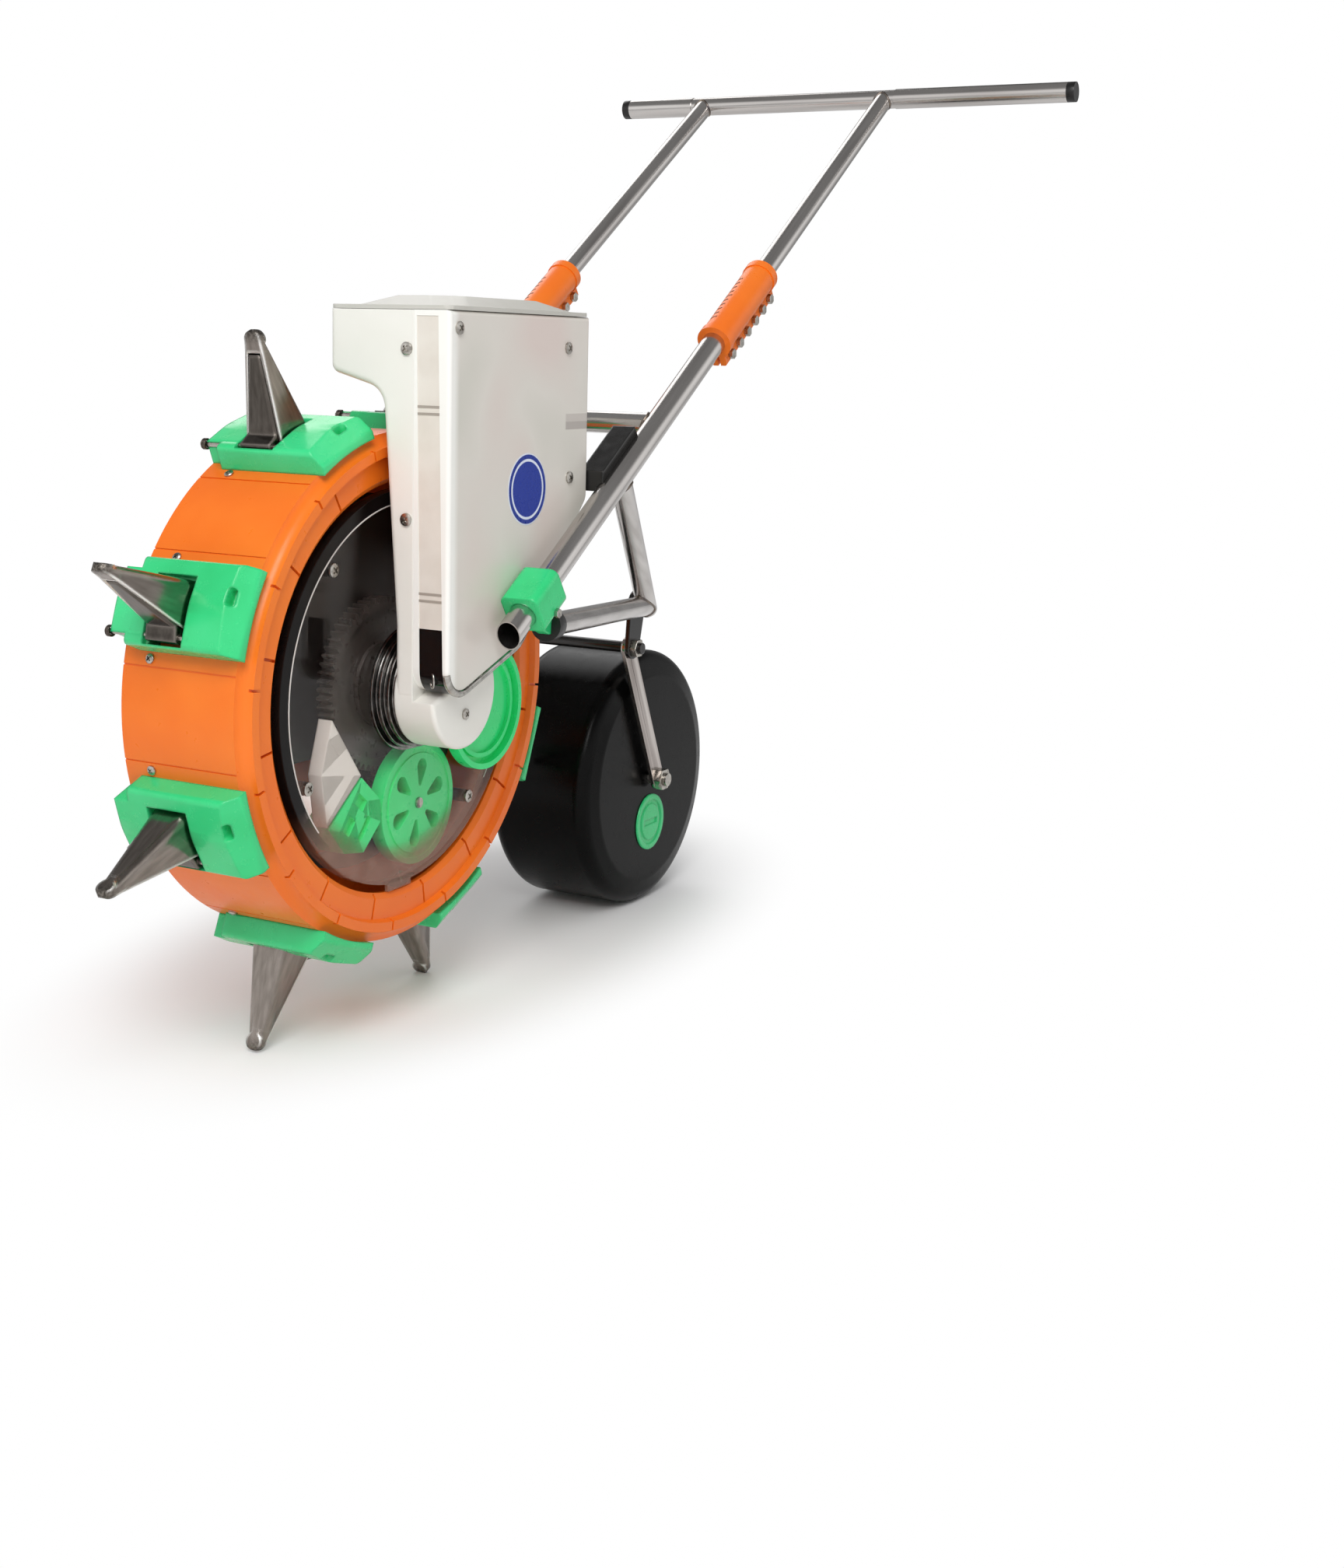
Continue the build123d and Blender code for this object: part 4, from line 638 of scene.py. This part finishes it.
def printed_vinyl():
    """Blue print with a white ring near its edge; the film breaks the gloss a little."""
    material, tree = new_material("printed vinyl label")
    where = add(tree, "TexCoord").outputs["Object"]
    apart = add(tree, "VectorMath", {0: where, 1: tuple(LABEL_CENTRE)}, operation="DISTANCE").outputs["Value"]
    share = add(tree, "Math", {0: apart, 1: LABEL_RADIUS}, operation="DIVIDE").outputs[0]
    ink = add(tree, "ValToRGB", {"Fac": share},
              ((0.0, "#0F2F94"), (0.76, "#0F2F94"), (0.775, "#DDE3F2"), (0.83, "#DDE3F2"),
               (0.845, "#0E2C8C"), (0.955, "#0E2C8C"), (0.965, "#D5DAE6")))
    mottle = add(tree, "TexNoise", {"Vector": where, "Scale": per(5.0), "Detail": 4.0})
    gloss = add(tree, "MapRange", {"Value": mottle.outputs["Fac"], "To Min": 0.2, "To Max": 0.36})
    bleached = add(tree, "MapRange", {"Value": mottle.outputs["Fac"], "To Min": 0.0, "To Max": 0.03})
    colour = add(tree, "MixRGB", {"Fac": bleached.outputs["Result"], "Color1": ink.outputs["Color"],
                                  "Color2": linear("#8FA3D6")})
    shader = add(tree, "BsdfPrincipled", {"Base Color": colour.outputs["Color"], "IOR": 1.5,
                                          "Specular IOR Level": 0.25, "Roughness": gloss.outputs["Result"]})
    add(tree, "OutputMaterial", {"Surface": shader.outputs[0]})
    return material


sticker = bmesh.new()
rings = []
for radius, lift in LABEL_RINGS:
    ring = []
    for step in range(LABEL_STEPS):
        turn = 2 * math.pi * step / LABEL_STEPS
        offset = Vector((math.cos(turn), 0, math.sin(turn))) * radius * LABEL_RADIUS
        ring.append(sticker.verts.new(LABEL_CENTRE + offset + Vector((0, -lift * MM, 0))))
    rings.append(ring)
for inner, outer in zip(rings, rings[1:]):
    for step in range(LABEL_STEPS):
        sticker.faces.new((inner[step - 1], inner[step], outer[step], outer[step - 1]))
bmesh.ops.remove_doubles(sticker, verts=sticker.verts, dist=0.01 * MM)
# Printed vinyl: flat strong blue under a clear film, with a clean pale ring.
made_piece("round_label", sticker, printed_vinyl(), "frame")

# Handle and frame tubes: the two telescopic handle tubes, the bars across them, and the stays and braces.
# Drawn stainless tube, polished along its length, cut and welded together.
# The upper tubes slide in the lower ones.
HANDLE_RUN = 704
HANDLE_RISE = 465
HANDLE_SLOPE = math.atan2(HANDLE_RISE, HANDLE_RUN)
BRACE_SLOPE = -0.64
DRAWN_OUT = (0.05, 1.0, 1.0)


def polished_tube(name, slope, sideways, dark="#BAB5B2", middle="#C8C4C1", light="#D4D0CD"):
    """Stainless bar with bands along it; it rises by slope and turns sideways across the machine."""
    material, tree = new_material(name)
    where = add(tree, "TexCoord").outputs["Object"]
    laid = add(tree, "Mapping", {"Vector": where, "Rotation": (0.0, slope, sideways)}, vector_type="POINT")
    drawn = add(tree, "VectorMath", {0: laid.outputs[0], 1: DRAWN_OUT}, operation="MULTIPLY").outputs[0]
    bands = add(tree, "TexNoise", {"Vector": drawn, "Scale": per(7.0), "Detail": 2.0, "Roughness": 0.45})
    colour = add(tree, "ValToRGB", {"Fac": bands.outputs["Fac"]}, ((0.3, dark), (0.7, light), (0.5, middle)))
    # The draw lines are finer than a tenth of a millimetre; they are drawn 1.5 mm wide so that they show.
    lines = add(tree, "TexNoise", {"Vector": drawn, "Scale": per(1.5), "Detail": 3.0})
    gloss = add(tree, "MapRange", {"Value": lines.outputs["Fac"], "To Min": 0.13, "To Max": 0.25})
    shader = add(tree, "BsdfPrincipled", {"Base Color": colour.outputs["Color"], "Metallic": 1.0,
                                          "Roughness": gloss.outputs["Result"]})
    add(tree, "OutputMaterial", {"Surface": shader.outputs[0]})
    return material


# Polished stainless: long soft bands run with the tube, and its highlight is faintly drawn out.
dress(polished_tube("polished stainless tube", HANDLE_SLOPE, 0.0),
      "lower_tube_near", "lower_tube_far", "upper_tube_near", "upper_tube_far")
dress(polished_tube("polished stainless crossbar", 0.0, -math.pi / 2), "handle_bar", "cross_tube")
dress(polished_tube("polished stainless stay", 0.0, 0.0), "stays")
dress(polished_tube("polished stainless brace", BRACE_SLOPE, 0.0), "braces")

# Welds: a bead of filler round each joint of the tubes.
# Stainless filler, laid by hand and ground a little, brown and blue from the heat.
WELD = 1.1 * MM
WELD_STEPS = 28
BRANCH_RADIUS = 9 * MM
LOWER_TUBE_WELD = 10.9 * MM
BRACE_WELD = 9.1 * MM
BAR_WELD = 9.3 * MM
BRACE_REACH = 191.5 * MM
BAR_RUN = 100 * MM
SIDE_Y = {-1: -128, 1: 76}
STAY_Y = {-1: -124, 1: 76}
ACROSS = Vector((0, 1, 0))
tube_way = Vector((HANDLE_RUN, 0, HANDLE_RISE)).normalized()
FOOT = {hand: Vector((17, SIDE_Y[hand], 305)) * MM for hand in (-1, 1)}
CORNER = {hand: Vector((329, hand * 74, 287)) * MM for hand in (-1, 1)}
STAY_FOOT = {hand: Vector((74, STAY_Y[hand], 303)) * MM for hand in (-1, 1)}
CROSS_END = {hand: Vector((238, SIDE_Y[hand], 451)) * MM for hand in (-1, 1)}
BAR_JOINT = {hand: Vector((721, SIDE_Y[hand], 770)) * MM for hand in (-1, 1)}
CROSS_MIDDLE = Vector((238, -26, 451)) * MM


def joint_line(start, end, radius, main, main_way, main_radius):
    """Points where a round branch, drawn from start to end, meets the surface of a main tube."""
    way = (end - start).normalized()
    across = way.orthogonal().normalized()
    along = way.cross(across)
    line = []
    for step in range(WELD_STEPS):
        turn = 2 * math.pi * step / WELD_STEPS
        point = start + radius * (math.cos(turn) * across + math.sin(turn) * along) - main
        side_way = way - main_way * way.dot(main_way)
        side_point = point - main_way * point.dot(main_way)
        a = side_way.dot(side_way)
        b = 2 * side_way.dot(side_point)
        c = side_point.dot(side_point) - main_radius * main_radius
        root = math.sqrt(max(0.0, b * b - 4 * a * c))
        reach = (-b - root) / (2 * a)
        line.append(point + main + way * reach)
    return line


# Weld bead: grey ripples, straw and blue at the edges.
bead_steel = plated("heat-tinted weld bead", "#9A8C7C", "#4E4A50", 0.3)
frame_welds = []
handle_welds = []
for hand in (-1, 1):
    lower = (FOOT[hand], tube_way, LOWER_TUBE_WELD)
    brace_top = FOOT[hand] + tube_way * BRACE_REACH
    brace = (brace_top, (CORNER[hand] - brace_top).normalized(), BRACE_WELD)
    bar = BAR_JOINT[hand]
    frame_welds.append(joint_line(CORNER[hand], brace_top, BRANCH_RADIUS, *lower))
    frame_welds.append(joint_line(STAY_FOOT[hand], CORNER[hand], BRANCH_RADIUS, *brace))
    frame_welds.append(joint_line(CROSS_MIDDLE, CROSS_END[hand], BRANCH_RADIUS, *lower))
    handle_welds.append(joint_line(bar - tube_way * BAR_RUN, bar, BRANCH_RADIUS, bar, ACROSS, BAR_WELD))
wires("frame_welds", frame_welds, WELD, bead_steel, "frame", closed=True)
wires("handle_welds", handle_welds, WELD, bead_steel, "upper_handle", closed=True)

# Bar caps and end plugs: small black closings of the tube ends.
# Moulded from the same ABS as the case plate and pushed on or in.
dress(black_abs, "end_plugs", "bar_caps")
soften(1.0, "bar_caps", "end_plugs")

# Tube clamps: green blocks bored for the handle tubes, bolted to the hopper.
# Moulded from the same polypropylene as the seats.
dress(green_pp, "tube_clamp_near", "tube_clamp_far")
soften(2.0, "tube_clamp_near", "tube_clamp_far")

# Clamp sleeves: orange plastic shells bolted round the joint of the handle tubes.
# A short scale of moulded ticks, filled with dark paint, shows how far the handle is drawn out.
SLEEVE_RADIUS = 14.5 * MM
TICKS = 10
TICK_START = 408
TICK_SPACING = 7
TICK_TURN = math.radians(23)
TICK_SPAN = 0.09
LONG_TICK_EVERY = 5
LONG_TICK_SPAN = 0.13
TICK_LIFTS = (-0.2, 0.22)
TICK_SIDES = (-0.6, 0.6)
TICK_QUADS = ((2, 3, 7, 6), (0, 2, 6, 4), (1, 5, 7, 3), (0, 4, 5, 1))
dress(orange_abs, "sleeve_near", "sleeve_far")

# Tick paint: dull dark brown, so the scale reads as thin lines on the orange.
tick_paint = moulded("dark filled tick", "#4A2A14", "#5C3519", "#3A200F", 0.5, 0.8)
above = Vector((-tube_way.z, 0, tube_way.x))
ticks = bmesh.new()
for hand in (-1, 1):
    for tick in range(TICKS):
        middle = FOOT[hand] + tube_way * (TICK_START + TICK_SPACING * tick) * MM
        span = TICK_SPAN if tick % LONG_TICK_EVERY else LONG_TICK_SPAN
        corners = []
        for step in range(5):
            turn = TICK_TURN + (step - 2) * span
            out = math.cos(turn) * above + math.sin(turn) * ACROSS
            for lift in TICK_LIFTS:
                for shift in TICK_SIDES:
                    place = middle + out * (SLEEVE_RADIUS + lift * MM) + tube_way * shift * MM
                    corners.append(ticks.verts.new(place))
        for step in range(4):
            block = corners[4 * step : 4 * step + 8]
            for quad in TICK_QUADS:
                ticks.faces.new([block[corner] for corner in quad])
        ticks.faces.new([corners[corner] for corner in (0, 1, 3, 2)])
        ticks.faces.new([corners[corner] for corner in (-4, -2, -1, -3)])
made_piece("sleeve_ticks", ticks, tick_paint, "frame")

# Brackets, lugs and the pivot rod: the black steel that ties hopper, axle and fork to the frame.
# Cut and bent steel with a baked powder coat, bolted and welded on.

# Powder coat: black and smooth, with a thin highlight along each rounded edge.
black_coat = moulded("black powder coat", "#151413", "#1C1A19", "#0F0E0E", 0.18, 0.5, level=0.5,
                     round_mm=1.5)
dress(black_coat, "hopper_bracket", "rear_lugs", "cross_rod", "far_bracket")
soften(0.6, "hopper_bracket", "rear_lugs", "far_bracket")

# Fork arms: flat stainless bars on the pivot rod and the press axle.
# Brushed along the bar, with rolled edges that catch the light.
ARM_SLOPE = -1.13

# Brushed stainless: stronger dark and light bands than on the tubes, along the bar.
dress(polished_tube("brushed stainless arm", ARM_SLOPE, 0.0, "#958B86", "#B4ABA6", "#D6CFCA"),
      "fork_arm_near", "fork_arm_far")
soften(1.0, "fork_arm_near", "fork_arm_far")

# Press roller: a hollow black roller, filled through the green plug, that closes the soil over the seed.
# Rotomoulded polyethylene; the plug is screwed into its near face.

# Black polyethylene: deep black with a smooth, slightly dull skin and broad faint highlights.
roller_pe = moulded("black rotomoulded polyethylene", "#070707", "#0A0A0A", "#050505", 0.24, 1.4, 50.0, 0.09)
dress(roller_pe, "press_roller")
dress(green_pp, "filler_plug")
soften(0.7, "filler_plug")

# Studio floor: a sheet of pale paper under the machine, laid flat.
# It keeps the shadow near the wheels and fades to the white background further out.
FLOOR_HALF = 9
FLOOR_DROP = 0.4 * MM
SHADOW_CENTRE = (0.22, 0.06, 0.0)
SHADOW_STRETCH = (1.0, 2.0, 1.0)
SHADOW_INNER = 0.28
SHADOW_OUTER = 0.52
floor_corners = [(FLOOR_HALF * x, FLOOR_HALF * y, 0) for x, y in ((-1, -1), (1, -1), (1, 1), (-1, 1))]
floor_mesh = bpy.data.meshes.new("floor")
floor_mesh.from_pydata(floor_corners, [], [(0, 1, 2, 3)])
floor = bpy.data.objects.new("floor", floor_mesh)
bpy.context.scene.collection.objects.link(floor)
floor.location.z = -FLOOR_DROP


def seen_directly(tree):
    """One where a surface is seen by the camera or through a clear piece."""
    path = add(tree, "LightPath").outputs
    return add(tree, "Math", {0: path["Is Camera Ray"], 1: path["Is Transmission Ray"]},
               operation="MAXIMUM").outputs[0]


# Studio paper: plain and matt, with the shadow on it and no edge.
floor_paper, tree = new_material("pale studio paper")
where = add(tree, "TexCoord").outputs["Object"]
away = add(tree, "VectorMath", {0: where, 1: SHADOW_CENTRE}, operation="SUBTRACT")
narrow = add(tree, "VectorMath", {0: away.outputs[0], 1: SHADOW_STRETCH}, operation="MULTIPLY")
reach = add(tree, "VectorMath", {0: narrow.outputs[0]}, operation="LENGTH")
fade = add(tree, "MapRange", {"Value": reach.outputs["Value"], "From Min": SHADOW_INNER,
                              "From Max": SHADOW_OUTER}, interpolation_type="SMOOTHSTEP")
fade_seen = add(tree, "Math", {0: fade.outputs["Result"], 1: seen_directly(tree)}, operation="MULTIPLY")
paper = add(tree, "BsdfDiffuse", {"Color": linear("#F4F4F4")})
glow = add(tree, "Emission", {"Color": linear("#FFFFFF"), "Strength": 1.0})
ground = add(tree, "MixShader", {0: fade_seen.outputs[0], 1: paper.outputs[0], 2: glow.outputs[0]})
add(tree, "OutputMaterial", {"Surface": ground.outputs[0]})
floor_mesh.materials.append(floor_paper)

# Studio room and lamps: a white room with one broad soft box over the front and a fill behind.
# Metal mirrors white walls, a darker ceiling, and a dark screen behind the machine that draws its edges.
ROOM_LIGHT = 0.52
CEILING_FROM = 0.3
CEILING_FULL = 0.65
SCREEN_WAY = (0.88, 0.46, 0.0)
world = bpy.data.worlds.new("studio")
bpy.context.scene.world = world
world.use_nodes = True
tree = world.node_tree
tree.nodes.clear()
way = add(tree, "TexCoord").outputs["Generated"]
rise = add(tree, "SeparateXYZ", {"Vector": way}).outputs["Z"]
walls = add(tree, "MapRange", {"Value": rise, "From Min": CEILING_FROM, "From Max": CEILING_FULL,
                               "To Min": 0.98, "To Max": 0.24}, interpolation_type="SMOOTHSTEP")
behind = add(tree, "VectorMath", {0: way, 1: SCREEN_WAY}, operation="DOT_PRODUCT").outputs["Value"]
screen = add(tree, "MapRange", {"Value": behind, "From Min": 0.35, "From Max": 0.8, "To Min": 1.0,
                                "To Max": 0.3}, interpolation_type="SMOOTHSTEP")
level = add(tree, "Math", {0: walls.outputs["Result"], 1: screen.outputs["Result"]}, operation="MULTIPLY")
soft = add(tree, "Background", {"Color": linear("#FFFFFF"), "Strength": ROOM_LIGHT})
mirrored = add(tree, "Background", {"Color": linear("#FFFFFF"), "Strength": level.outputs[0]})
white = add(tree, "Background", {"Color": linear("#FFFFFF"), "Strength": 1.0})
glossy = add(tree, "LightPath").outputs["Is Glossy Ray"]
room = add(tree, "MixShader", {0: glossy, 1: soft.outputs[0], 2: mirrored.outputs[0]})
sky = add(tree, "MixShader", {0: seen_directly(tree), 1: room.outputs[0], 2: white.outputs[0]})
add(tree, "OutputWorld", {"Surface": sky.outputs[0]})


def lamp(name, place, aim, size, power):
    """A square soft box that faces a point of the object."""
    data = bpy.data.lights.new(name, "AREA")
    data.size = size
    data.energy = power
    made = bpy.data.objects.new(name, data)
    bpy.context.scene.collection.objects.link(made)
    made.location = place
    made.rotation_euler = (Vector(aim) - Vector(place)).to_track_quat("-Z", "Y").to_euler()


lamp("key_soft_box", (-1.7, -0.9, 2.2), (0.1, 0.0, 0.3), size=1.5, power=50)
lamp("rear_fill", (1.7, 1.4, 1.9), (0.2, 0.0, 0.4), size=1.4, power=12)

# Camera: a normal lens at the front near side, at about the height of the hopper.
# Its place, turn and framing are solved from the bill tips, tubes and hopper corners.
CAMERA_PLACE = Vector((-1153.1, -858.5, 509.9)) * MM
CAMERA_TURN = math.radians(62.9)
CAMERA_DIP = math.radians(8.2)
CAMERA_ROLL = math.radians(1.4)
SENSOR = 36
FOCAL_PIXELS = 2450.4
IMAGE_HEIGHT = 2016
CENTRE_ROW = 806
level_ahead = Vector((math.sin(CAMERA_TURN), math.cos(CAMERA_TURN), 0))
ahead = math.cos(CAMERA_DIP) * level_ahead - math.sin(CAMERA_DIP) * Vector((0, 0, 1))
right = Vector((math.cos(CAMERA_TURN), -math.sin(CAMERA_TURN), 0))
up = right.cross(ahead)
right, up = (math.cos(CAMERA_ROLL) * right + math.sin(CAMERA_ROLL) * up,
             math.cos(CAMERA_ROLL) * up - math.sin(CAMERA_ROLL) * right)
camera_data = bpy.data.cameras.new("camera")
camera_data.sensor_width = SENSOR
camera_data.lens = SENSOR * FOCAL_PIXELS / IMAGE_HEIGHT
camera_data.shift_y = (CENTRE_ROW - IMAGE_HEIGHT / 2) / IMAGE_HEIGHT
camera = bpy.data.objects.new("camera", camera_data)
bpy.context.scene.collection.objects.link(camera)
facing = Matrix((right, up, -ahead)).transposed().to_4x4()
camera.matrix_world = Matrix.Translation(CAMERA_PLACE) @ facing
bpy.context.scene.camera = camera
bpy.context.scene.view_settings.view_transform = "Standard"
